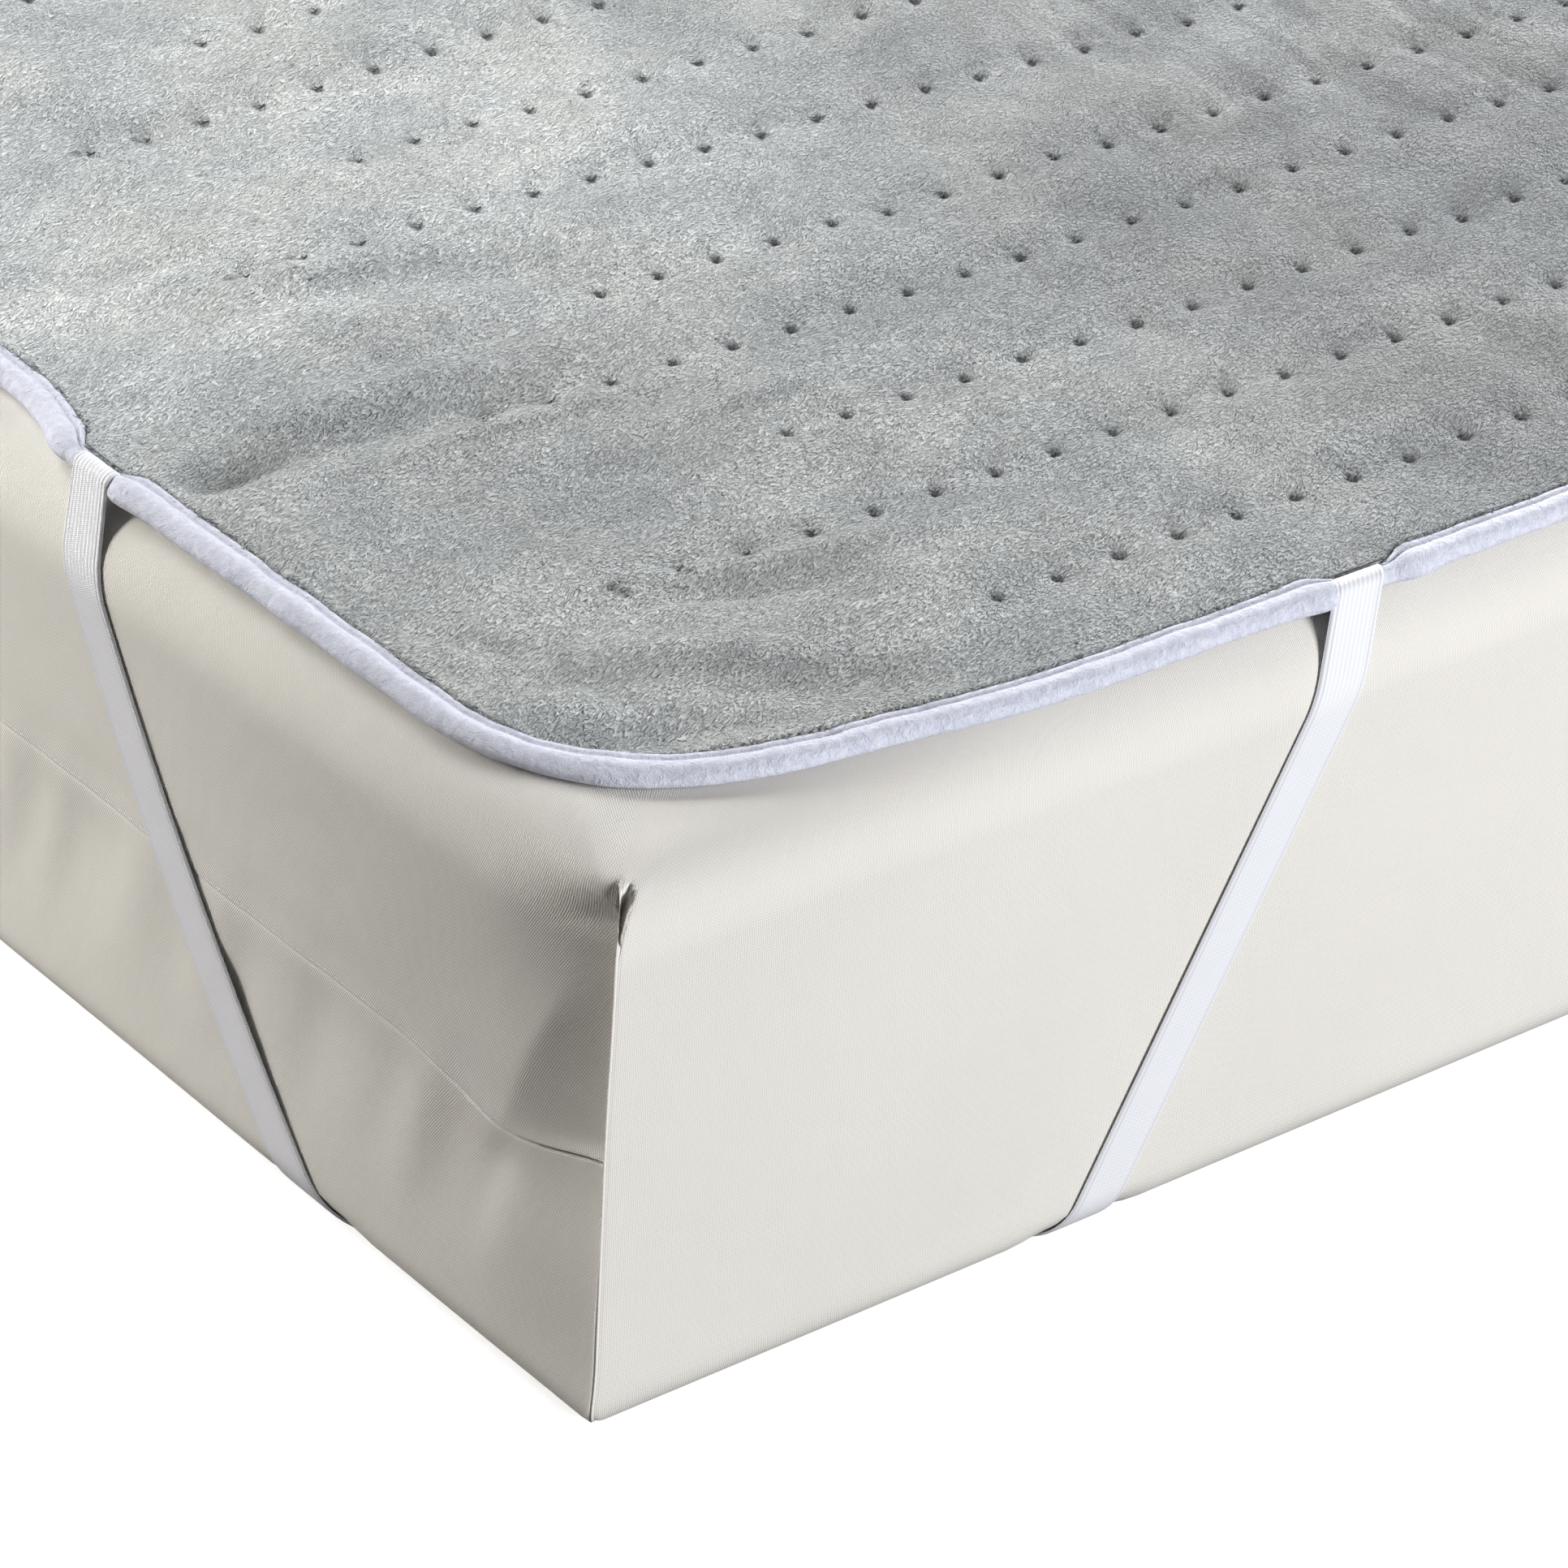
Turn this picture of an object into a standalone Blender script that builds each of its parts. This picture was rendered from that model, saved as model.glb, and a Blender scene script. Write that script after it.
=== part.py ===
"""An electric underblanket laid on a plain single mattress, held by four elastic corner straps.

Metres, +Z up. X runs along the mattress and Y across it. The origin is the middle of the mattress's
underside. Each corner of the bed is also measured with u, the distance in from the end of the
mattress along X, and v, the distance in from its long side along Y.
"""
import math

import bmesh
import bpy
import numpy as np
from mathutils import Vector

# Mattress: a standard single, in a canvas cover with soft edges.
MATTRESS_LENGTH = 1.900
MATTRESS_WIDTH = 0.900
MATTRESS_HEIGHT = 0.197
MATTRESS_CORNER_RADIUS = 0.014
MATTRESS_TOP_RADIUS = 0.028
MATTRESS_BASE_RADIUS = 0.015
MATTRESS_CORNER_GROWTH = 0.6     # how fast an upright corner widens as it rolls over an edge
MATTRESS_ARC_STEPS = 5

# Plush sheet, with its heating wire inside. Its cut outline lies a little in from the mattress's.
GAP = 0.0003                     # between neighbouring pieces
REST_GAP = 0.0005                # between the bedding and the mattress top
EDGE_INSET = 0.012               # from the mattress's sides to the cut outline
SHEET_THICKNESS = 0.0055
SHEET_SEWN_THICKNESS = 0.0024    # squeezed inside the binding
SHEET_CORNER_RADIUS = 0.100
SHEET_COLUMN_PITCH = 0.043
SHEET_ROWS = 17
CORNER_COLUMNS = 4

# Fleece binding folded over the sheet's edge.
BINDING_WIDTH = 0.013
BINDING_UNDER_WIDTH = 0.011
BINDING_CLOTH = 0.0015
BINDING_HALF_DEPTH = SHEET_SEWN_THICKNESS / 2 + GAP + BINDING_CLOTH
BINDING_MID_Z = MATTRESS_HEIGHT + REST_GAP + BINDING_HALF_DEPTH
BINDING_ROLL_STEPS = 3

# Elastic straps: each runs from a long side, under the corner, to the end.
STRAP_WIDTH = 0.019
STRAP_THICKNESS = 0.0012
STRAP_STANDOFF = 0.0011          # the strap's middle, out from the mattress's side
STRAP_BASE_Z = GAP + STRAP_THICKNESS / 2
SIDE_STRAP_U = 0.3121            # where the strap is sewn on the long side
SIDE_STRAP_SLOPE = 0.530         # how far it leans to the corner for each metre down
END_STRAP_V = 0.3031             # where it is sewn on the end
END_STRAP_SLOPE = 0.482
END_STRAP_BEND = 1.06            # extra lean for each metre squared
STRAP_FACE_STEPS = 8
STRAP_ARC_STEPS = 6
STRAP_TOP_EDGE_STEPS = 3
STRAP_UNDER_STEPS = 10
GROOVE_CLEARANCE = 0.00035       # over each strap, where it sinks into the mattress
GROOVE_SIDE_CLEARANCE = 0.0007
GROOVE_DEPTH_OUT = 0.006         # how far the groove's cutter reaches outside the strap
GROOVE_TOP_Z = 0.025             # the strap lies clear of the mattress above this

# Controller inlet on the hidden end.
INLET_Y = 0.10
INLET_FLANGE = (0.062, 0.078, 0.0025)
INLET_HOUSING = (0.046, 0.060, 0.0170)
INLET_ROUNDING = 0.004
INLET_SOCKET = (0.014, 0.034, 0.0080)    # depth in, width, height
INLET_SOCKET_Z = 0.0105          # middle of the socket above the sheet
INLET_SETBACK = 0.004            # from the binding to the flange

# Where the sheet's edge wanders from its cut outline.
CORNER_DRAW = 0.0115             # the long side draws in beside each corner
CORNER_DRAW_U = 0.095
CORNER_DRAW_SPREAD = 0.060
END_DRAW = 0.011                 # the end draws in between its two straps
END_DRAW_START = 0.300
END_DRAW_FULL = 0.360
DRAW_REACH = 0.16                # how far into the sheet the drawing-in is felt

RIDGE_CLEAR = 0.11               # ridges reach their full height this far from the mattress's sides

# Soft ridges where the sheet lifts: middle x and y, heading in degrees from +X,
# half length, half width and height.
RIDGES = (
    (-0.800, -0.120, 14.0, 0.170, 0.040, 0.0040),
    (-0.740, -0.045, 8.0, 0.190, 0.045, 0.0050),
    (-0.640, 0.060, -6.0, 0.200, 0.050, 0.0045),
    (-0.830, 0.150, 20.0, 0.120, 0.045, 0.0040),
    (-0.480, -0.020, 24.0, 0.150, 0.045, 0.0030),
    (-0.310, 0.210, -12.0, 0.210, 0.055, 0.0040),
    (-0.080, -0.190, 10.0, 0.190, 0.050, 0.0025),
    (0.120, 0.080, 30.0, 0.180, 0.055, 0.0040),
    (0.360, -0.120, -15.0, 0.230, 0.055, 0.0035),
    (0.610, 0.240, 8.0, 0.160, 0.050, 0.0035),
    (0.720, -0.190, 18.0, 0.130, 0.050, 0.0030),
)

HALF_LENGTH = MATTRESS_LENGTH / 2
HALF_WIDTH = MATTRESS_WIDTH / 2
CORE_X = HALF_LENGTH - EDGE_INSET - SHEET_CORNER_RADIUS    # centres of the sheet's round corners
CORE_Y = HALF_WIDTH - EDGE_INSET - SHEET_CORNER_RADIUS
SHEET_BASE_Z = MATTRESS_HEIGHT + REST_GAP
SHEET_TOP_Z = SHEET_BASE_Z + SHEET_THICKNESS
SHEET_EDGE_INSET = BINDING_HALF_DEPTH + GAP
SHEET_FLAT_INSET = 0.040


# ---------------------------------------------------------------- helpers

def clear_scene():
    for obj in list(bpy.data.objects):
        bpy.data.objects.remove(obj, do_unlink=True)


def make_material(name, colour, roughness):
    material = bpy.data.materials.new(name)
    material.use_nodes = True
    shader = material.node_tree.nodes["Principled BSDF"]
    shader.inputs["Base Color"].default_value = (*colour, 1.0)
    shader.inputs["Roughness"].default_value = roughness
    shader.inputs["Metallic"].default_value = 0.0
    return material


def finish_object(name, bm, material=None, smooth_angle=40.0):
    """Turn a bmesh into a named object, with its faces pointing out."""
    bmesh.ops.recalc_face_normals(bm, faces=bm.faces)
    mesh = bpy.data.meshes.new(name)
    bm.to_mesh(mesh)
    bm.free()
    mesh.shade_smooth()
    mesh.set_sharp_from_angle(angle=math.radians(smooth_angle))
    obj = bpy.data.objects.new(name, mesh)
    bpy.context.scene.collection.objects.link(obj)
    if material:
        mesh.materials.append(material)
    return obj


def hide_cutter(obj):
    obj.hide_render = True
    obj.display_type = "WIRE"


def add_boolean(obj, other, operation, solver="EXACT"):
    modifier = obj.modifiers.new(f"{operation.title()} {other.name}", "BOOLEAN")
    modifier.operation = operation
    modifier.solver = solver
    modifier.object = other
    hide_cutter(other)


def loft(bm, rings):
    """Skin a list of rings of points, each closed and of one length, and return the end rings."""
    loops = [[bm.verts.new(point) for point in ring] for ring in rings]
    for lower, upper in zip(loops, loops[1:]):
        for k in range(len(lower)):
            after = (k + 1) % len(lower)
            bm.faces.new((lower[k], lower[after], upper[after], upper[k]))
    return loops[0], loops[-1]


def arc(centre, radius, start, end, steps):
    """Points on an arc in a plane, angles in degrees."""
    angles = np.radians(np.linspace(start, end, steps + 1))
    return [(centre[0] + radius * math.cos(a), centre[1] + radius * math.sin(a)) for a in angles]


def smooth_step(start, end, value):
    t = min(max((value - start) / (end - start), 0.0), 1.0)
    return t * t * (3.0 - 2.0 * t)


def bell(distance, spread):
    return math.exp(-(distance / spread) ** 2)


# ---------------------------------------------------------------- mattress

def rounded_rectangle(half_x, half_y, radius, steps):
    """Points round a rectangle with rounded corners, anticlockwise from its +X side."""
    points = []
    for quarter, (sx, sy) in enumerate(((1, 1), (-1, 1), (-1, -1), (1, -1))):
        centre = (sx * (half_x - radius), sy * (half_y - radius))
        points += arc(centre, radius, 90.0 * quarter, 90.0 * (quarter + 1), steps)
    return points


def mattress_sections():
    """Insets and heights up the mattress's side: base edge, upright side, top edge."""
    base = arc((MATTRESS_BASE_RADIUS, MATTRESS_BASE_RADIUS), MATTRESS_BASE_RADIUS,
               270, 180, MATTRESS_ARC_STEPS)
    top_centre = (MATTRESS_TOP_RADIUS, MATTRESS_HEIGHT - MATTRESS_TOP_RADIUS)
    return base + arc(top_centre, MATTRESS_TOP_RADIUS, 180, 90, MATTRESS_ARC_STEPS)


def build_mattress(straps):
    bm = bmesh.new()
    rings = []
    for inset, height in mattress_sections():
        radius = MATTRESS_CORNER_RADIUS + MATTRESS_CORNER_GROWTH * inset
        outline = rounded_rectangle(HALF_LENGTH - inset, HALF_WIDTH - inset, radius, MATTRESS_ARC_STEPS)
        rings.append([(x, y, height) for x, y in outline])
    bottom, top = loft(bm, rings)
    bm.faces.new(bottom)
    bm.faces.new(top)
    mattress = finish_object("mattress", bm, make_material("mattress canvas", (0.78, 0.74, 0.67), 0.85))
    for corner in straps:
        add_boolean(mattress, build_groove_cutter(corner), "DIFFERENCE", "MANIFOLD")
    return mattress


# ---------------------------------------------------------------- sheet

def column_positions():
    """X of each column of the sheet, closer together where a corner curves."""
    inner_radius = SHEET_CORNER_RADIUS - SHEET_FLAT_INSET
    angles = np.radians(np.linspace(0, 90, CORNER_COLUMNS + 1))[1:]
    curved = [CORE_X + inner_radius * math.sin(a) for a in angles]
    count = round(2 * CORE_X / SHEET_COLUMN_PITCH)
    straight = list(np.linspace(-CORE_X, CORE_X, count + 1))
    return [-x for x in reversed(curved)] + straight + curved


def half_width_at(x):
    """Half the width of the sheet's flat part at x, which narrows round each corner."""
    past = max(abs(x) - CORE_X, 0.0)
    inner_radius = SHEET_CORNER_RADIUS - SHEET_FLAT_INSET
    return CORE_Y + math.sqrt(max(inner_radius ** 2 - past ** 2, 0.0))


def core_foot(x, y):
    """The nearest point of the rectangle that joins the centres of the sheet's round corners."""
    return Vector((min(max(x, -CORE_X), CORE_X), min(max(y, -CORE_Y), CORE_Y)))


def outward(x, y):
    """Unit direction out across the sheet's nearest edge."""
    return (Vector((x, y)) - core_foot(x, y)).normalized()


def inset_of(x, y):
    """How far a point lies in from the cut outline, within the round corners' radius of it."""
    return SHEET_CORNER_RADIUS - (Vector((x, y)) - core_foot(x, y)).length


def draw_in(x, y):
    """Move a point of the cut outline to where the laid sheet's edge really runs."""
    u = HALF_LENGTH - abs(x)
    v = HALF_WIDTH - abs(y)
    shift_y = CORNER_DRAW * bell(u - CORNER_DRAW_U, CORNER_DRAW_SPREAD) * bell(v, DRAW_REACH)
    shift_x = END_DRAW * smooth_step(END_DRAW_START, END_DRAW_FULL, v) * bell(u, DRAW_REACH)
    return x - math.copysign(shift_x, x), y - math.copysign(shift_y, y)


def ridge_height(x, y):
    """How far the sheet lifts off the mattress at a point."""
    lift = 0.0
    for ridge_x, ridge_y, heading, half_length, half_width, height in RIDGES:
        turn = math.radians(heading)
        along = (x - ridge_x) * math.cos(turn) + (y - ridge_y) * math.sin(turn)
        across = (y - ridge_y) * math.cos(turn) - (x - ridge_x) * math.sin(turn)
        lift += height * bell(along, half_length) * bell(across, half_width)
    edge = min(HALF_LENGTH - abs(x), HALF_WIDTH - abs(y))
    return lift * smooth_step(EDGE_INSET + BINDING_WIDTH, RIDGE_CLEAR, edge)


def sheet_rim():
    """The rim of the sheet's flat part, in order round it, each point with its way out."""
    columns = column_positions()
    rows = np.linspace(-1, 1, SHEET_ROWS + 1)
    rim = [(x, -half_width_at(x)) for x in columns]
    rim += [(columns[-1], t * half_width_at(columns[-1])) for t in rows[1:]]
    rim += [(x, half_width_at(x)) for x in reversed(columns[:-1])]
    rim += [(columns[0], t * half_width_at(columns[0])) for t in reversed(rows[1:-1])]
    return [(Vector(point), outward(*point)) for point in rim]


def flat_grid(bm):
    """A grid over the sheet's flat part, its rim round the rounded corners."""
    columns = column_positions()
    grid = bmesh.ops.create_grid(bm, x_segments=len(columns) - 1, y_segments=SHEET_ROWS, size=1.0)
    for vert in grid["verts"]:
        column = round((vert.co.x + 1) / 2 * (len(columns) - 1))
        x = columns[column]
        vert.co = (x, vert.co.y * half_width_at(x), 0.0)


def widen_to(bm, inset):
    """Extrude the rim out to the given distance in from the cut outline."""
    rim = [edge for edge in bm.edges if edge.is_boundary]
    new = bmesh.ops.extrude_edge_only(bm, edges=rim)["geom"]
    for vert in (item for item in new if isinstance(item, bmesh.types.BMVert)):
        x, y = vert.co.x, vert.co.y
        spot = core_foot(x, y) + outward(x, y) * (SHEET_CORNER_RADIUS - inset)
        vert.co = spot.to_3d()


def sheet_faces_z(inset, lift):
    """Heights of the sheet's top and underside, squeezed together inside the binding."""
    full = smooth_step(BINDING_WIDTH, BINDING_WIDTH + 0.006, inset)
    sewn_top = BINDING_MID_Z + SHEET_SEWN_THICKNESS / 2
    sewn_base = BINDING_MID_Z - SHEET_SEWN_THICKNESS / 2
    top = sewn_top + (SHEET_TOP_Z - sewn_top) * full + lift
    base = sewn_base + (SHEET_BASE_Z - sewn_base) * full + lift
    return top, base


def build_sheet():
    bm = bmesh.new()
    flat_grid(bm)
    for inset in (BINDING_WIDTH + 0.0065, BINDING_WIDTH, SHEET_EDGE_INSET):
        widen_to(bm, inset)
    top_verts = list(bm.verts)
    copy = bmesh.ops.duplicate(bm, geom=bm.verts[:] + bm.edges[:] + bm.faces[:])
    under_of = {vert: copy["vert_map"][vert] for vert in top_verts}
    for vert, under in under_of.items():
        x, y = vert.co.x, vert.co.y
        top, base = sheet_faces_z(inset_of(x, y), ridge_height(x, y))
        x, y = draw_in(x, y)
        vert.co = (x, y, top)
        under.co = (x, y, base)
    bmesh.ops.bridge_loops(bm, edges=[edge for edge in bm.edges if edge.is_boundary])
    return finish_object("underblanket", bm, make_material("grey plush", (0.36, 0.38, 0.38), 0.95))


# ---------------------------------------------------------------- binding

def binding_section():
    """Section of the folded binding: distance in from the outline, and height from its middle."""
    outer = BINDING_HALF_DEPTH
    inner = outer - BINDING_CLOTH
    over = [(BINDING_WIDTH, outer)] + arc((outer, 0.0), outer, 90, 270, 2 * BINDING_ROLL_STEPS)
    back = arc((outer, 0.0), inner, 270, 90, BINDING_ROLL_STEPS)
    return over + [(BINDING_UNDER_WIDTH, -outer), (BINDING_UNDER_WIDTH, -inner)] + back + [
        (BINDING_WIDTH, inner)]


def build_binding():
    bm = bmesh.new()
    rings = []
    for rim_point, way in sheet_rim():
        foot = rim_point + way * SHEET_FLAT_INSET
        ring = []
        for inset, height in binding_section():
            x, y = foot - way * inset
            drawn_x, drawn_y = draw_in(x, y)
            ring.append((drawn_x, drawn_y, BINDING_MID_Z + height))
        rings.append(ring)
    first, last = loft(bm, rings)
    for k in range(len(first)):
        after = (k + 1) % len(first)
        bm.faces.new((last[k], last[after], first[after], first[k]))
    return finish_object("binding", bm, make_material("lavender fleece", (0.60, 0.63, 0.83), 0.95))


# ---------------------------------------------------------------- elastic straps

def tangent_angle(centre_a, radius_a, centre_b, radius_b):
    """Angle, in degrees, at which a taut strap leaves one round edge for the next."""
    apart = Vector(centre_b) - Vector(centre_a)
    turn = math.acos((radius_a - radius_b) / apart.length)
    return math.degrees(math.atan2(apart.y, apart.x) + turn)


def strap_profile():
    """The strap's middle across one edge of the bed: (out from the mattress's side, height).

    It runs over the binding, round the mattress's top edge, down the side, round the base edge,
    and stops under the mattress.
    """
    over_radius = BINDING_HALF_DEPTH + GAP + STRAP_THICKNESS / 2
    over_centre = (-EDGE_INSET - BINDING_HALF_DEPTH, BINDING_MID_Z)
    top_radius = MATTRESS_TOP_RADIUS + STRAP_STANDOFF
    top_centre = (-MATTRESS_TOP_RADIUS, MATTRESS_HEIGHT - MATTRESS_TOP_RADIUS)
    base_radius = MATTRESS_BASE_RADIUS + STRAP_STANDOFF
    base_centre = (-MATTRESS_BASE_RADIUS, base_radius + STRAP_BASE_Z)
    leaves = tangent_angle(over_centre, over_radius, top_centre, top_radius)
    over = arc(over_centre, over_radius, 90, leaves, STRAP_ARC_STEPS)
    top_edge = arc(top_centre, top_radius, leaves, 0, STRAP_TOP_EDGE_STEPS)
    heights = np.linspace(top_centre[1], base_centre[1], STRAP_FACE_STEPS)
    down = [(STRAP_STANDOFF, z) for z in heights[1:-1]]
    under = arc(base_centre, base_radius, 0, -90, STRAP_ARC_STEPS)
    return [(-EDGE_INSET - BINDING_WIDTH, over[0][1])] + over + top_edge + down + under


def profile_lengths(profile):
    steps = [math.dist(a, b) for a, b in zip(profile, profile[1:])]
    return [0.0, *np.cumsum(steps)]


def profile_normals(profile):
    """Unit normals of the profile, out of the bed."""
    normals = []
    for k in range(len(profile)):
        before = profile[max(k - 1, 0)]
        after = profile[min(k + 1, len(profile) - 1)]
        along = Vector((after[0] - before[0], after[1] - before[1])).normalized()
        normals.append(Vector((-along.y, along.x)))
    return normals


def half_strap(start, slope, bend, long_side):
    """Stations down one side: strap middle (u, v, z), way across it and way out of the bed."""
    profile = strap_profile()
    stations = []
    for (out, z), length, normal in zip(profile, profile_lengths(profile), profile_normals(profile)):
        along = start - slope * length - bend * length ** 2
        lean = slope + 2 * bend * length
        across = math.hypot(1.0, lean)
        if long_side:
            stations.append((Vector((along, -out, z)), Vector((across, 0, 0)),
                             Vector((0, -normal.x, normal.y))))
        else:
            stations.append((Vector((-out, along, z)), Vector((0, across, 0)),
                             Vector((-normal.x, 0, normal.y))))
    return stations


def under_strap(side, end):
    """Stations under the mattress, on a smooth curve from the side's last to the end's last."""
    start, finish = side[-1][0], end[-1][0]
    way_in = (side[-1][0] - side[-2][0]).normalized()
    way_out = (end[-2][0] - end[-1][0]).normalized()
    way_in.z = way_out.z = 0.0
    pull = (finish - start).length / 3
    a, b = start + way_in * pull, finish - way_out * pull
    stations = []
    for k in range(1, STRAP_UNDER_STEPS):
        t = k / STRAP_UNDER_STEPS
        s = 1 - t
        middle = s ** 3 * start + 3 * s * s * t * a + 3 * s * t * t * b + t ** 3 * finish
        heading = (s * s * (a - start) + 2 * s * t * (b - a) + t * t * (finish - b)).normalized()
        turn = t * math.pi / 2
        across = Vector((math.cos(turn), math.sin(turn), 0))
        across /= abs(heading.x * across.y - heading.y * across.x)
        stations.append((middle, across, Vector((0, 0, -1))))
    return stations


def strap_stations():
    side = half_strap(SIDE_STRAP_U, SIDE_STRAP_SLOPE, 0.0, True)
    end = half_strap(END_STRAP_V, END_STRAP_SLOPE, END_STRAP_BEND, False)
    return side + under_strap(side, end) + end[::-1]


def sweep_strip(stations, width, inner, outer, corner):
    """A closed strip: its inner and outer face lie at these distances out from the stations."""
    bm = bmesh.new()
    rings = []
    for middle, across, normal in stations:
        ring = []
        for side, depth in ((-1, inner), (1, inner), (1, outer), (-1, outer)):
            u, v, z = middle + across * (side * width / 2) + normal * depth
            ring.append((corner[0] * (HALF_LENGTH - u), corner[1] * (HALF_WIDTH - v), z))
        rings.append(ring)
    first, last = loft(bm, rings)
    bm.faces.new(first)
    bm.faces.new(last)
    return bm


def build_strap(name, corner, material):
    half = STRAP_THICKNESS / 2
    bm = sweep_strip(strap_stations(), STRAP_WIDTH, -half, half, corner)
    return finish_object(name, bm, material)


def build_groove_cutter(corner):
    """Cutter for the shallow groove that a strap presses into the mattress's underside."""
    low = [station for station in strap_stations() if station[0].z < GROOVE_TOP_Z]
    inner = -(STRAP_THICKNESS / 2 + GROOVE_CLEARANCE)
    width = STRAP_WIDTH + 2 * GROOVE_SIDE_CLEARANCE
    bm = sweep_strip(low, width, inner, GROOVE_DEPTH_OUT, corner)
    return finish_object(f"groove_cutter_{corner[0]:+d}_{corner[1]:+d}", bm)


# ---------------------------------------------------------------- controller inlet

def rounded_block(name, size, centre, rounding, material=None):
    """A block with its upright edges and top edges rounded."""
    bm = bmesh.new()
    bmesh.ops.create_cube(bm, size=1.0)
    for vert in bm.verts:
        vert.co = Vector(vert.co[k] * size[k] for k in range(3)) + Vector(centre)
    base_z = centre[2] - size[2] / 2
    edges = [edge for edge in bm.edges if max(v.co.z for v in edge.verts) > base_z + size[2] / 2]
    bmesh.ops.bevel(bm, geom=edges, offset=rounding, offset_type="OFFSET", segments=4,
                    profile=0.5, affect="EDGES", material=-1)
    return finish_object(name, bm, material)


def build_inlet():
    """A moulded socket on a sewn flange, its mouth facing out over the binding."""
    flange_front = HALF_LENGTH - EDGE_INSET - END_DRAW - BINDING_WIDTH - INLET_SETBACK
    middle_x = flange_front - INLET_FLANGE[0] / 2
    base_z = SHEET_TOP_Z + GAP
    plastic = make_material("inlet plastic", (0.62, 0.63, 0.66), 0.45)
    inlet = rounded_block("controller_inlet", INLET_FLANGE,
                          (middle_x, INLET_Y, base_z + INLET_FLANGE[2] / 2), 0.002, plastic)
    housing = rounded_block("housing_guide", INLET_HOUSING,
                            (middle_x, INLET_Y, base_z + 0.0005 + INLET_HOUSING[2] / 2), INLET_ROUNDING)
    add_boolean(inlet, housing, "UNION")
    mouth_x = middle_x + INLET_HOUSING[0] / 2
    socket_size = (2 * INLET_SOCKET[0], INLET_SOCKET[1], INLET_SOCKET[2])
    socket = rounded_block("socket_cutter", socket_size,
                           (mouth_x, INLET_Y, base_z + INLET_SOCKET_Z), 0.0012)
    add_boolean(inlet, socket, "DIFFERENCE")
    return inlet


# ---------------------------------------------------------------- whole object

def build():
    clear_scene()
    corners = {"foot_right": (-1, -1), "foot_left": (-1, 1), "head_left": (1, 1), "head_right": (1, -1)}
    build_mattress(corners.values())
    build_sheet()
    build_binding()
    elastic = make_material("white elastic", (0.88, 0.88, 0.90), 0.70)
    for name, corner in corners.items():
        build_strap(f"strap_{name}", corner, elastic)
    build_inlet()


build()
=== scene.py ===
# %% [markdown]
# # An electric underblanket on a plain mattress
#
# An electric underblanket is a thin plush pad with a heating wire tacked inside it. It lies on the
# mattress, under the bottom sheet, and four elastic straps hold it by its corners. This lesson
# dresses the plain solids of such a bed: a canvas cover, a plush sheet with rows of tacks, a
# fleece binding folded over its edge, ribbed straps, and a moulded inlet for the hand controller.
#
# The frame holds the plain solids. Every new piece is built in the same place and in metres.

# %% Load the frame
import math
from itertools import accumulate

import bmesh
import bpy
from mathutils import Matrix, Vector, kdtree, noise


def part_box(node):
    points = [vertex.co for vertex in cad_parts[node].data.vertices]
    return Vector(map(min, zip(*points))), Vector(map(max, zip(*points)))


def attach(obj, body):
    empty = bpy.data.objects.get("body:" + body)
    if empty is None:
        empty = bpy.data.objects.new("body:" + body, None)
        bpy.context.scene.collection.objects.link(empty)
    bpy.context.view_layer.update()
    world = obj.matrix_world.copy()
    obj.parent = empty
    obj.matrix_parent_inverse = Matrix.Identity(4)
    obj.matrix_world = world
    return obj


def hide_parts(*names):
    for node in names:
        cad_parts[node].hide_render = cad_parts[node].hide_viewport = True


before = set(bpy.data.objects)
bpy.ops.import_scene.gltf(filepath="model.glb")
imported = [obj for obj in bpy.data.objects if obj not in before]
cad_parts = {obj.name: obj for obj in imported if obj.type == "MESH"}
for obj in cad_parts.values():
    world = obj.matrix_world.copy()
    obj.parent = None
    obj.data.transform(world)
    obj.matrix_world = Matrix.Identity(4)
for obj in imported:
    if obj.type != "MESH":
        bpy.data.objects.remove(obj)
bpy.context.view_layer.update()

HALF_LENGTH, HALF_WIDTH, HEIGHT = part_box("mattress")[1]
print("nodes:", ", ".join(sorted(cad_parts)))
print(f"mattress {2 * HALF_LENGTH:.3f} x {2 * HALF_WIDTH:.3f} x {HEIGHT:.3f} m")

# %% [markdown]
# ## A few small tools
#
# Two curves are used again and again: ease, a smooth step that fades one shape into another, and
# a bell, which raises or sinks a soft patch. Everything else about a piece is measured from the
# nearest corner of the bed: u is the distance in from the end, and v the distance in from the long
# side. One description then serves all four corners.

# %% Curves and corner measure
def ease(start, end, value):
    t = min(max((value - start) / (end - start), 0.0), 1.0)
    return t * t * (3.0 - 2.0 * t)


def bell(distance, spread):
    return math.exp(-(distance / spread) ** 2)


def mix(a, b, share):
    return a + (b - a) * share


def spread_out(start, end, count):
    """Evenly spaced values, both ends included."""
    return [mix(start, end, k / (count - 1)) for k in range(count)]


def arc(centre, radius, start, end, steps):
    """Points on an arc in a plane, angles in degrees."""
    angles = [math.radians(a) for a in spread_out(start, end, steps + 1)]
    return [(centre[0] + radius * math.cos(a), centre[1] + radius * math.sin(a)) for a in angles]


def running_length(points):
    """How far each point lies along the line through them all."""
    return list(accumulate((math.dist(a, b) for a, b in zip(points, points[1:])), initial=0.0))


def in_metres(rows, plain=0):
    """A table written in millimetres, except for the first plain values of each row."""
    return [row[:plain] + tuple(value / 1000 for value in row[plain:]) for row in rows]


def from_corner(x, y):
    return HALF_LENGTH - abs(x), HALF_WIDTH - abs(y)


def to_bed(corner, u, v):
    return corner[0] * (HALF_LENGTH - u), corner[1] * (HALF_WIDTH - v)


def wander(x, y, size, seed=0.0):
    """A smooth value between about -1 and 1 that changes over a patch of this size."""
    return 1.6 * noise.noise(Vector((x / size + seed, y / size - seed, seed)))


print("halfway up a smooth step:", ease(0, 1, 0.5))

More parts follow.
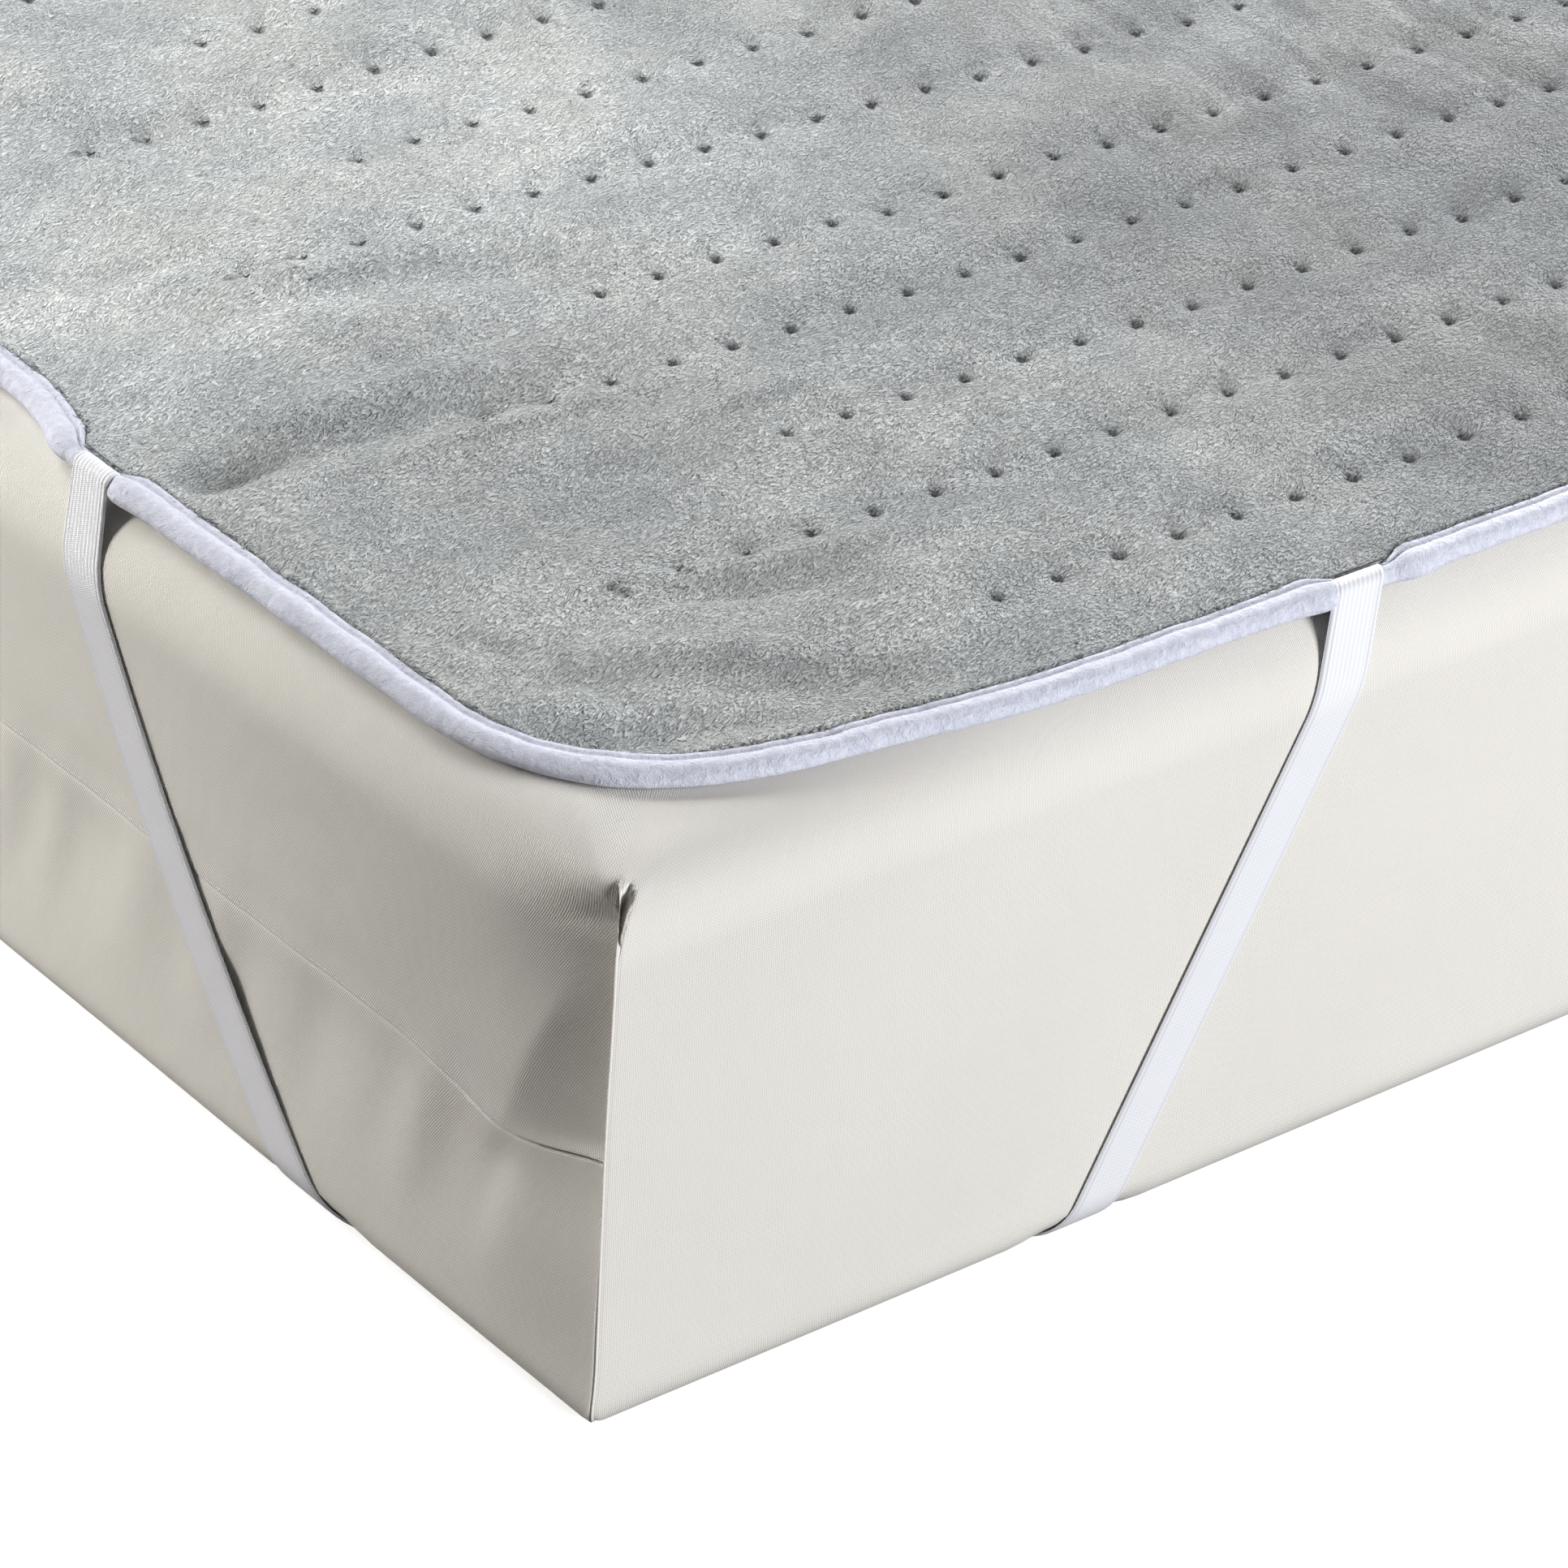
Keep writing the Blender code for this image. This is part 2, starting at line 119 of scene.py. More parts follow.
# %% [markdown]
# ## Cloth from a grid
#
# Cover, binding and straps are all long strips of cloth that close on themselves. Each starts as
# one flat grid. A function says where the point in a given column and row goes, and a second says
# how far along and across the cloth it lies, which becomes the UV map that weaves and ribs follow.
# Merging the doubled points then sews the strip into a tube.

# %% Shape a grid, and finish a piece
def shaped_grid(columns, rows, place, measure):
    """A grid placed point by point, with the cloth's own measure, in metres, as its UV map."""
    bm = bmesh.new()
    uv = bm.loops.layers.uv.new("UVMap")
    bmesh.ops.create_grid(bm, x_segments=columns - 1, y_segments=rows - 1, size=1.0)
    spots = {}
    for vert in bm.verts:
        column = round((vert.co.x + 1) / 2 * (columns - 1))
        row = round((vert.co.y + 1) / 2 * (rows - 1))
        spots[vert] = (Vector(place(column, row)), measure(column, row))
    for face in bm.faces:
        for loop in face.loops:
            loop[uv].uv = spots[loop.vert][1]
    for vert, (spot, _) in spots.items():
        vert.co = spot
    return bm


def sew(bm):
    bmesh.ops.remove_doubles(bm, verts=bm.verts, dist=1e-6)


def grow_rim(bm):
    """Add a row of faces round the open edge, and return the row's new points."""
    rim = [edge for edge in bm.edges if edge.is_boundary]
    grown = bmesh.ops.extrude_edge_only(bm, edges=rim)["geom"]
    return [item for item in grown if isinstance(item, bmesh.types.BMVert)]


def close_ends(bm):
    bmesh.ops.holes_fill(bm, edges=[edge for edge in bm.edges if edge.is_boundary])


def add_object(name, data):
    made = bpy.data.objects.new(name, data)
    bpy.context.scene.collection.objects.link(made)
    return made


def finish_piece(name, bm, smooth_angle=60.0):
    """Turn a bmesh into a piece that rides on the bed."""
    bmesh.ops.recalc_face_normals(bm, faces=bm.faces)
    mesh = bpy.data.meshes.new(name)
    bm.to_mesh(mesh)
    bm.free()
    mesh.shade_smooth()
    mesh.set_sharp_from_angle(angle=math.radians(smooth_angle))
    piece = add_object(name, mesh)
    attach(piece, "root")
    mesh.calc_loop_triangles()
    print(f"{name}: {len(mesh.loop_triangles)} triangles")
    return piece


# %% [markdown]
# ## The edge of the underblanket
#
# The underblanket's cut outline is a rectangle with large round corners, a little in from the
# mattress's edge. The laid cloth doesn't keep to it exactly. Beside each corner the strap draws
# the long side in, and between its two straps the end is drawn in too. Pieces near the edge are
# placed by their distance in from the outline, and are then moved by the same drawing-in.

# %% Outline of the underblanket
BASE_ROUND, TOP_ROUND = 0.015, 0.028       # the mattress's own round edges
EDGE_INSET = 0.012
CORNER_RADIUS = 0.1
CORE_X = HALF_LENGTH - EDGE_INSET - CORNER_RADIUS
CORE_Y = HALF_WIDTH - EDGE_INSET - CORNER_RADIUS
BINDING_WIDTH = 0.013
BINDING_HALF_DEPTH = 0.003
CLEARANCE, SHEET_DEPTH, PILE_RISE = 0.0005, 0.0055, 0.0007
REST_Z = HEIGHT + CLEARANCE                # the sheet and its binding rest here
BINDING_MID_Z = REST_Z + BINDING_HALF_DEPTH
SHEET_TOP_Z = REST_Z + SHEET_DEPTH + PILE_RISE
SIDE_DRAW, END_DRAW, DRAW_REACH = 0.0115, 0.011, 0.16


def core_foot(x, y):
    """The nearest point of the rectangle that joins the centres of the round corners."""
    return Vector((min(max(x, -CORE_X), CORE_X), min(max(y, -CORE_Y), CORE_Y)))


def draw_in(x, y):
    """Move a point of the cut outline to where the laid cloth's edge really runs."""
    u, v = from_corner(x, y)
    shift_y = SIDE_DRAW * bell(u - 0.095, 0.06) * bell(v, DRAW_REACH)
    shift_x = END_DRAW * ease(0.3, 0.36, v) * bell(u, DRAW_REACH)
    return x - math.copysign(shift_x, x), y - math.copysign(shift_y, y)


def outline_point(x, y, inset):
    """The point at this inset on the outline's normal through (x, y), and the way out there."""
    foot = core_foot(x, y)
    way = (Vector((x, y)) - foot).normalized()
    return foot + way * (CORNER_RADIUS - inset), way


print(f"cut outline {2 * (HALF_LENGTH - EDGE_INSET):.3f} x {2 * (HALF_WIDTH - EDGE_INSET):.3f} m")

# %% [markdown]
# ## Where the straps run
#
# Each strap is sewn to a long side, goes over the binding, down the mattress's side, slanting to
# the corner, under the corner and up the end in the same way. Its path is worked out first,
# because the binding is pinched under it and the cover gives way to it underneath. The profile is
# a taut strap's: straight between the round edges that it bends over.

# %% The strap's profile across an edge
STRAP_WIDTH = 0.019
STRAP_HALF = 0.0005
STRAP_STANDOFF = 0.0009        # from the mattress to the strap's middle
STRAP_START = 0.0085           # the strap comes out of the seam this far in from the outline
SIDE_STRAP_U, SIDE_STRAP_SLOPE = 0.3121, 0.53
END_STRAP_V, END_STRAP_SLOPE, END_STRAP_BEND = 0.2981, 0.482, 1.06
END_STRAP_SWAY, SWAY_LENGTH = 0.005, 0.034


def tangent_angle(centre_a, radius_a, centre_b, radius_b):
    """Angle, in degrees, at which a taut strap leaves one round edge for the next."""
    apart = Vector(centre_b) - Vector(centre_a)
    turn = math.acos((radius_a - radius_b) / apart.length)
    return math.degrees(math.atan2(apart.y, apart.x) + turn)


def strap_profile():
    """(out from the mattress's side, height) of the strap's middle, from its seam to the floor."""
    over_radius = BINDING_HALF_DEPTH + STRAP_STANDOFF
    over = (-EDGE_INSET - BINDING_HALF_DEPTH, BINDING_MID_Z)
    top, top_radius = (-TOP_ROUND, HEIGHT - TOP_ROUND), TOP_ROUND + STRAP_STANDOFF
    base_radius = BASE_ROUND + STRAP_STANDOFF
    base = (-BASE_ROUND, base_radius + STRAP_STANDOFF)
    leaves = tangent_angle(over, over_radius, top, top_radius)
    insets = (BINDING_WIDTH, STRAP_START, 0.0077, 0.0069, 0.006, 0.0047)
    points = [(-EDGE_INSET - inset, over[1] + over_radius) for inset in insets]
    points += arc(over, over_radius, 90, leaves, 14) + arc(top, top_radius, leaves, 0, 9)
    points += [(STRAP_STANDOFF, z) for z in spread_out(top[1], base[1], 52)[1:-1]]
    return points + arc(base, base_radius, 0, -90, 12)


profile = strap_profile()
profile_length = running_length(profile)
print(f"the strap covers {profile_length[-1] * 1000:.0f} mm from its seam to the underside")

# %% The strap's stations, from seam to seam under the corner
def half_strap(start, slope, bend, sway, long_side):
    """Stations down one side: middle (u, v, z), way across and way out of the bed."""
    stations = []
    for k, ((out, z), length) in enumerate(zip(profile, profile_length)):
        before, after = profile[max(k - 1, 0)], profile[min(k + 1, len(profile) - 1)]
        along = Vector((after[0] - before[0], after[1] - before[1])).normalized()
        t = min(length / SWAY_LENGTH, 1.0)
        spot = start + sway * ease(0, 1, t) - slope * length - bend * length ** 2
        across = math.hypot(1.0, slope + 2 * bend * length - sway * 6 * t * (1 - t) / SWAY_LENGTH)
        station = Vector((spot, -out, z)), Vector((across, 0, 0)), Vector((0, along.y, along.x))
        stations.append(station if long_side else tuple(part.yxz for part in station))
    return stations


def under_strap(side, end, steps=40):
    """Stations under the mattress, on a smooth curve from the side's last to the end's last."""
    start, finish = side[-1][0], end[-1][0]
    way_in, way_out = side[-1][0] - side[-2][0], end[-2][0] - end[-1][0]
    way_in.z = way_out.z = 0.0
    pull = (finish - start).length / 3
    a, b = start + way_in.normalized() * pull, finish - way_out.normalized() * pull
    stations = []
    for k in range(1, steps):
        t, s = k / steps, 1 - k / steps
        middle = s ** 3 * start + 3 * s * s * t * a + 3 * s * t * t * b + t ** 3 * finish
        ahead = (s * s * (a - start) + 2 * s * t * (b - a) + t * t * (finish - b)).normalized()
        across = Vector((math.cos(t * math.pi / 2), math.sin(t * math.pi / 2), 0))
        across /= abs(ahead.x * across.y - ahead.y * across.x)
        stations.append((middle, across, Vector((0, 0, -1))))
    return stations


side_half = half_strap(SIDE_STRAP_U, SIDE_STRAP_SLOPE, 0.0, 0.0, True)
end_half = half_strap(END_STRAP_V, END_STRAP_SLOPE, END_STRAP_BEND, END_STRAP_SWAY, False)
under_part = under_strap(side_half, end_half)
print("side normal at the face:", tuple(round(c, 2) for c in side_half[40][2]))

# %% [markdown]
# ## The mattress cover
#
# The cover is sewn from canvas: a top that rolls over the edge, long side panels, and end panels in
# two parts with a seam between. At each corner the side panel ends in a raised seam, the end panel
# is drawn in beside it to a flat triangular hollow, and above the seam the cloth opens in a short
# pleat. It could be draped by simulation, but a stretched cover hardly moves, so the grid is shaped
# directly. Its columns crowd together at the corners and its rows at the seam, where the detail is.

# %% Columns round the bed
COVER_RADIUS = 0.001
COVER_ARC_STEPS = 24


def marks(reach):
    """Shares of the way from a corner to the middle of a side, close together at the corner."""
    spots = [0.0]
    for limit, step in ((0.006, 0.0005), (0.06, 0.0025), (0.35, 0.008), (reach, 0.03)):
        while spots[-1] + step < min(limit, reach):
            spots.append(spots[-1] + step)
    return [spot / reach for spot in spots] + [1.0]


quarter = [("end", share) for share in reversed(marks(HALF_WIDTH))]
quarter += [("arc", k / COVER_ARC_STEPS) for k in range(1, COVER_ARC_STEPS)]
quarter += [("side", share) for share in marks(HALF_LENGTH)]
CORNERS = ((1, 1), (-1, 1), (-1, -1), (1, -1))
corner_at = (HALF_WIDTH, HALF_WIDTH + 2 * HALF_LENGTH, 3 * HALF_WIDTH + 2 * HALF_LENGTH,
             3 * HALF_WIDTH + 4 * HALF_LENGTH)
round_the_bed = []
for k in range(len(CORNERS)):
    steps = quarter if k % 2 == 0 else quarter[::-1]
    round_the_bed += [(k, face, share) for face, share in steps[:-1]]
round_the_bed.append((3, "end", 1.0))
print(f"{len(round_the_bed)} columns round the bed")

# %% Rows up the side
SEAM_HEIGHT = 0.0955
around_seam = [SEAM_HEIGHT + step / 1000
               for step in (-5, -3, -1.6, -0.9, -0.5, -0.15, 0.15, 0.5, 0.9, 1.6, 3, 5)]
heights = spread_out(BASE_ROUND, around_seam[0] - 0.004, 16)[1:] + around_seam
heights += spread_out(around_seam[-1] + 0.003, HEIGHT - TOP_ROUND, 16)
sections = [(inset / 1000, 0.0) for inset in (220, 150, 110, 80, 60, 45, 34, 26, 20)]
sections += arc((BASE_ROUND, BASE_ROUND), BASE_ROUND, 270, 180, 8)
sections += [(0.0, height) for height in heights]
for start, end, steps in ((180, 152, 18), (152, 138, 14), (138, 90, 15)):
    sections += arc((TOP_ROUND, HEIGHT - TOP_ROUND), TOP_ROUND, start, end, steps)[1:]
TOP_FLAT = 0.034                           # the cover lies flat from here inwards
sections += [(inset, HEIGHT) for inset in (TOP_FLAT, 0.045, 0.06)]
section_length = running_length(sections)
print(f"{len(sections)} rows, {section_length[-1]:.3f} m over the edge")

# %% The end panel: seam line, hollow beside the corner, and puckers
PLEAT_FOOT, PLEAT_TOP = 0.179, 0.189
PUCKERS = in_metres((  # distance from the corner, half width and depth, in millimetres
    (58, 11, 2.2), (77, 10, 2.6), (109, 12, 2.0), (129, 9, 1.4), (148, 13, 2.6), (172, 10, 1.4),
    (189, 8, 1.8), (225, 16, 1.0), (268, 9, 1.6), (286, 10, 2.4), (312, 12, 2.0), (345, 12, 1.5),
    (385, 11, 2.0), (425, 13, 1.6),
))


def seam_rise(v):
    """How far the end panel's seam lies above its usual height."""
    return 0.0026 * (1 - ease(0.0, 0.034, v)) - 0.0072 * bell(v - 0.052, 0.03)


def hollow(s, height):
    """Depth of the hollow: a flat facet that sinks to the corner, and a curved funnel above it."""
    width = max(0.055 - (height - 0.091) * 0.51, 0.008)
    facet = 0.0072 * ease(0.035, SEAM_HEIGHT, height) ** 2
    facet += 0.003 * ease(SEAM_HEIGHT, SEAM_HEIGHT + 0.006, height)
    facet *= max(1 - s / width, 0.0)
    facet += 0.0012 * bell(s - width - 0.02, 0.05) * ease(0.06, 0.11, height)
    funnel = 0.0125 * math.exp(-s / 0.0185)
    depth = mix(facet, funnel, ease(0.128, 0.166, height)) * ease(0.0, 0.0012, s)
    crest = 0.1925 - 0.1 * min(s, 0.12)
    return depth * (1 - ease(crest - 0.006 - 0.35 * min(s, 0.06), crest, height))


def end_panel(s, height):
    """How far the end panel is pushed out, at a distance from the corner and a height."""
    push = -hollow(s, height) - 0.0002 * (1 + wander(s, height, 0.11, 3.0))
    from_seam = abs(height - SEAM_HEIGHT)
    groove = 0.0002 + 0.004 * bell(s - 0.03, 0.03)
    push -= groove * (1 - ease(0.0002, 0.0008, from_seam))
    push -= 0.0002 * bell(from_seam, 0.003)
    if height < 0.11:
        below = ease(0.022, 0.07, height) * (1 - 0.7 * ease(0.08, 0.0965, height))
        slant = s + 0.25 * (height - 0.075)
        push -= below * sum(depth * bell(slant - at, width) for at, width, depth in PUCKERS)
    return push


deepest = max(hollow(s / 1000, 0.11) for s in range(80))
print(f"hollow beside the corner: {deepest * 1000:.1f} mm deep")

# %% The corner: raised seam and pleat
def corner_detail(q, height):
    """Push at a distance q round the corner from its middle: seam groove, raised edge, pleat."""
    rise = ease(PLEAT_FOOT - 0.001, PLEAT_TOP, height)
    sewn = 1 - ease(PLEAT_FOOT - 0.002, PLEAT_FOOT + 0.002, height)
    left, right = 0.0003, 0.001 + 0.0026 * rise
    gap = ease(left - 0.0004, left + 0.0003, q)
    gap *= 1 - ease(right - 0.0004, right + 0.0005, q)
    gap = 0.0075 * gap + 0.0016 * bell(q + 0.0002, 0.0011)
    top = PLEAT_TOP + 0.0012 - 0.6 * abs(q - 0.0022)
    push = -gap * ease(PLEAT_FOOT - 0.001, PLEAT_FOOT + 0.003, height)
    push *= 1 - ease(top - 0.001, top + 0.0006, height)
    push -= 0.0005 * sewn * bell(q - 0.0011, 0.0005)
    push += 0.0005 * sewn * bell(q + 0.0001, 0.0009)
    return push + 0.001 * bell(height - PLEAT_TOP - 0.0014, 0.0016) * bell(q - 0.0012, 0.005)


def draw_back(q, height):
    """How far the corner is drawn in by its seam, at a distance q round from its middle."""
    most = mix(0.0015, 0.0027, ease(0.1, 0.172, height))
    most *= 1 - 0.6 * ease(0.178, 0.19, height)
    most *= ease(0.0, 0.03, height) * (1 - ease(0.194, 0.2, height))
    return most * (1 - ease(0.0, 0.06, abs(q)))


def side_panel(s, height):
    return -0.0002 * (1 + wander(s, height, 0.22, 8.0))


print(f"the pleat is {1000 * (PLEAT_TOP - PLEAT_FOOT):.1f} mm high")

# %% Room for the straps under the bed
STRAP_ROOM = 0.002
stations = side_half + under_part + end_half[::-1]
strap_line = [middle for middle, _, _ in stations if middle.z < 0.016]


def lifted(inset, z, u, v):
    """Height of the cover's underside, raised where a strap passes below it."""
    if z > 0.012:
        return z
    near = min(math.hypot(u - p.x, v - p.y) for p in strap_line[::3])
    reach = BASE_ROUND - min(inset, BASE_ROUND)
    raised = BASE_ROUND + STRAP_ROOM - math.sqrt(BASE_ROUND ** 2 - (0.98 * reach) ** 2)
    return mix(z, max(z, raised), 1 - ease(0.013, 0.021, near))


print(f"{len(strap_line)} strap stations lie under the bed")

# %% Place the cover's points
def arc_at(inset):
    """Radius of the cover's corner at this inset, and half the length of its arc."""
    radius = min(COVER_RADIUS + inset, 0.2)
    return radius, radius * math.pi / 4


def cover_spot(k, face, share, inset, height):
    """A point of the cover at corner k; q is its distance round from the corner's middle."""
    radius, half_arc = arc_at(inset)
    centre = inset + radius
    rounding, lean = (BASE_ROUND, -1) if height < BASE_ROUND else (TOP_ROUND, 1)
    upright = 1 - min(inset, rounding) / rounding
    if face == "end":
        s = share * (HALF_WIDTH - centre)
        u, v, way, q = inset, centre + s, Vector((-1, 0)), -half_arc - s
        rise = seam_rise(s)
    elif face == "side":
        s = share * (HALF_LENGTH - centre)
        u, v, way, q = centre + s, inset, Vector((0, -1)), half_arc + s
        rise = 0.0
    else:
        angle = share * math.pi / 2
        way = Vector((-math.cos(angle), -math.sin(angle)))
        u, v, q = centre + way.x * radius, centre + way.y * radius, (2 * share - 1) * half_arc
        s, rise = q, seam_rise(0) * (1 - share)
    push = 0.0
    if inset <= TOP_FLAT and height > 0:
        push = end_panel(-q, height) if q < 0 else side_panel(s, height)
        push += corner_detail(q, height)
    u += push * upright * way.x + draw_back(q, height)
    v += push * upright * way.y
    z = lifted(inset, height + rise * bell(height - SEAM_HEIGHT, 0.022), u, v)
    return Vector((*to_bed(CORNERS[k], u, v), z + push * lean * math.sqrt(1 - upright ** 2)))


def cover_measure(column, row):
    k, face, share = round_the_bed[column]
    inset = sections[row][0]
    radius, half_arc = arc_at(inset)
    if face == "arc":
        q = (2 * share - 1) * half_arc
    else:
        s = share * ((HALF_WIDTH if face == "end" else HALF_LENGTH) - inset - radius)
        spare = (inset + radius - half_arc) * ease(0.0, 0.3, s)
        q = (half_arc + s + spare) * (-1 if face == "end" else 1)
    return corner_at[k] + (q if k % 2 == 0 else -q), section_length[row]


cover_bm = shaped_grid(len(round_the_bed), len(sections),
                       lambda c, r: cover_spot(*round_the_bed[c], *sections[r]), cover_measure)
sew(cover_bm)
close_ends(cover_bm)
cover = finish_piece("mattress_cover", cover_bm)
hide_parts("mattress")

# %% [markdown]
# ## The plush sheet
#
# The sheet is one soft layer. It lies nearly flat, lifts a few millimetres in long soft ridges, and
# is creased where the straps and the corners pull at it. Rows of small tacks hold the heating wire
# inside, and each one draws the pile down into a dimple. The grid's columns are spaced so that a
# point can be moved to every tack.

# %% Ridges and folds
RIDGES = in_metres((  # heading in degrees; middle x and y, half length, half width and height
    (14, -800, -120, 170, 40, 4), (8, -740, -45, 190, 45, 5), (-6, -640, 60, 200, 50, 4.5),
    (20, -830, 150, 120, 45, 4), (24, -480, -20, 150, 45, 3), (-12, -310, 210, 210, 55, 4),
    (10, -80, -190, 190, 50, 2.5), (30, 120, 80, 180, 55, 4), (-15, 360, -120, 230, 55, 3.5),
    (8, 610, 240, 160, 50, 3.5), (18, 720, -190, 130, 50, 3),
), plain=1)
FOLDS = in_metres((  # the same, for creases, which are too fine for the solids
    (-1.5, -830, -167, 90, 9, 1.6), (0, -905, -184, 26, 7, -3), (1, -865, -185, 40, 7, -1),
    (0, -808, -205, 50, 6, 1.8), (2, -795, -190, 45, 8, -1.8), (-1, -735, -232, 40, 7, 1.6),
    (-11, -795, -322, 55, 6, 1.8), (-14, -815, -335, 35, 7, -1.8), (-24, -825, -400, 35, 11, -2.4),
    (-20, -872, -402, 35, 8, -2.6), (-45, -912, -378, 18, 8, -2.4), (-30, -850, -362, 32, 10, 2.2),
    (-62, -902, -318, 22, 6, -1.6), (-35, -890, -354, 16, 6, -1.6),
    (88, -885, -376, 16, 5.5, -1.2), (0, -820, -90, 40, 8, 2.2), (-10, -855, -52, 22, 8, -2),
    (-14, -780, -112, 50, 12, -2.6), (-10, -890, 168, 40, 8.5, -3.6), (6, -860, 142, 70, 12, 2.8),
    (4, 890, -176, 40, 8.5, -3.6), (-6, 890, 176, 40, 8.5, -3.6), (72, 884, 372, 30, 9, -2.6),
    (106, 886, -372, 30, 9, -2.6), (74, -886, 372, 30, 9, -2.6),
), plain=1)
LOFT = 1.6                                 # the cloth swells this many times as high as its table
SEAM_INSET = EDGE_INSET + BINDING_WIDTH    # the binding's seam, in from the mattress's side


def swell(x, y, table):
    lift = 0.0
    for degrees, middle_x, middle_y, half_length, half_width, height in table:
        dx, dy = x - middle_x, y - middle_y
        if abs(dx) + abs(dy) < 3 * (half_length + half_width):
            cos, sin = math.cos(math.radians(degrees)), math.sin(math.radians(degrees))
            along, across = dx * cos + dy * sin, dy * cos - dx * sin
            lift += height * bell(along, half_length) * bell(across, half_width)
    return lift


def sheet_lift(x, y):
    """How far the sheet's top lies above its flat height."""
    u, v = from_corner(x, y)
    clear = ease(SEAM_INSET, 0.11, min(u, v))
    near = ease(SEAM_INSET - 0.003, 0.04, min(u, v))
    soft = 0.001 * wander(x, y, 0.085, 1.0) + 0.0009 * wander(x, y, 0.034, 5.0)
    return LOFT * clear * swell(x, y, RIDGES) + near * (LOFT * swell(x, y, FOLDS) + soft)


print(f"{len(RIDGES)} ridges, {len(FOLDS)} folds")

# %% Rows of tacks
TACK_PITCH = 0.0252
TACK_END = 0.115                           # no tack lies nearer to the head end than this
TACK_ROWS = in_metres((  # from the long side to the row, and from the end to its first tack
    (70, 204), (136, 107), (192, 216), (253, 140), (305, 223.5), (370, 118), (426, 208),
    (487, 133), (539, 219), (604, 112), (660, 211), (721, 137), (773, 220), (830, 126),
))
tack_rows = [(from_side - HALF_WIDTH, first - HALF_LENGTH,
              int((2 * HALF_LENGTH - TACK_END - first) / TACK_PITCH) + 1)
             for from_side, first in TACK_ROWS]


def nearest_row(y):
    return min(tack_rows, key=lambda row: abs(row[0] - y))


def tack_measure(x, y, row):
    """Along a row, in pitches from its first tack, and across it in metres."""
    row_y, first_x, count = row
    return min(max((x - first_x) / TACK_PITCH, -0.5), count - 0.5), y - row_y


def tack_dimple(x, y):
    row = nearest_row(y)
    along, gap = tack_measure(x, y, row)
    if along in (-0.5, row[2] - 0.5):
        near = 1.0
    else:
        near = math.hypot((along - round(along)) * TACK_PITCH, gap)
    valley = 0.0007 * bell(gap, 0.01) if 0 < along < row[2] - 1 else 0.0
    return -valley - 0.0011 * bell(near, 0.0075) - 0.002 * bell(near, 0.0026)


tacks = [(first + k * TACK_PITCH, y) for y, first, count in tack_rows for k in range(count)]
print(f"{len(tacks)} tacks in {len(tack_rows)} rows")

# %% The sheet's flat part
SHEET_FLAT_INSET = 0.04
inner_radius = CORNER_RADIUS - SHEET_FLAT_INSET
curved = [CORE_X + inner_radius * math.sin(math.radians(a)) for a in spread_out(0, 90, 15)[1:]]
straight = spread_out(-CORE_X, CORE_X, round(2 * CORE_X / (TACK_PITCH / 6)) + 1)
column_x = [-x for x in reversed(curved)] + straight + curved
flat_half = CORE_Y + inner_radius
row_y = spread_out(-flat_half, -0.14, 82)[:-1] + spread_out(-0.14, 0, 26)[:-1]
row_y += spread_out(0, flat_half, 50)


def half_width_at(x):
    past = max(abs(x) - CORE_X, 0.0)
    return CORE_Y + math.sqrt(max(inner_radius ** 2 - past ** 2, 0.0))


def flat_spot(column, row):
    x = column_x[column]
    return x, row_y[row] / flat_half * half_width_at(x)


sheet_bm = shaped_grid(len(column_x), len(row_y), lambda c, r: (*flat_spot(c, r), 0.0), flat_spot)
print(f"{len(column_x)} columns, {len(row_y)} rows")

# %% Move a point to every tack
places = kdtree.KDTree(len(sheet_bm.verts))
sheet_bm.verts.ensure_lookup_table()
for vert in sheet_bm.verts:
    places.insert(vert.co, vert.index)
places.balance()
for x, y in tacks:
    _, index, gap = places.find((x, y, 0.0))
    if gap < 0.004:
        sheet_bm.verts[index].co = (x, y, 0.0)
print("points moved to their tacks")

# %% Out to the seam, and down inside the binding
def beside_strap(x, y):
    """Distance along the edge from the middle of the nearest strap."""
    u, v = from_corner(x, y)
    return abs(u - SIDE_STRAP_U) if v < u else abs(v - END_STRAP_V)


def strap_tug(x, y):
    """1 where a strap is sewn in, 0 away from it: the seam lies further out there."""
    return 1 - ease(0.008, 0.023, beside_strap(x, y))


SEAM_TUG = 0.0055
SHEET_RIM = (0.034, 0.029, 0.025, 0.022, 0.0195, 0.0175, 0.0158, 0.0145, 0.0134, 0.0125, 0.0116)
sheet_inset = {vert: SHEET_FLAT_INSET for vert in sheet_bm.verts}
for inset in SHEET_RIM:
    for vert in grow_rim(sheet_bm):
        vert.co = outline_point(vert.co.x, vert.co.y, inset)[0].to_3d()
        sheet_inset[vert] = inset

for vert, inset in sheet_inset.items():
    x, y = vert.co.x, vert.co.y
    if inset < SHEET_FLAT_INSET:
        tug = strap_tug(x, y) * (1 - ease(0.014, 0.036, inset))
        x, y = outline_point(x, y, inset - SEAM_TUG * tug)[0]
    top = mix(BINDING_MID_Z + 0.0006, SHEET_TOP_Z, ease(0.0112, 0.0137, inset))
    top += sheet_lift(x, y) + tack_dimple(x, y)
    vert.co = (*draw_in(x, y), top)
print(f"{len(sheet_bm.faces)} faces on top")

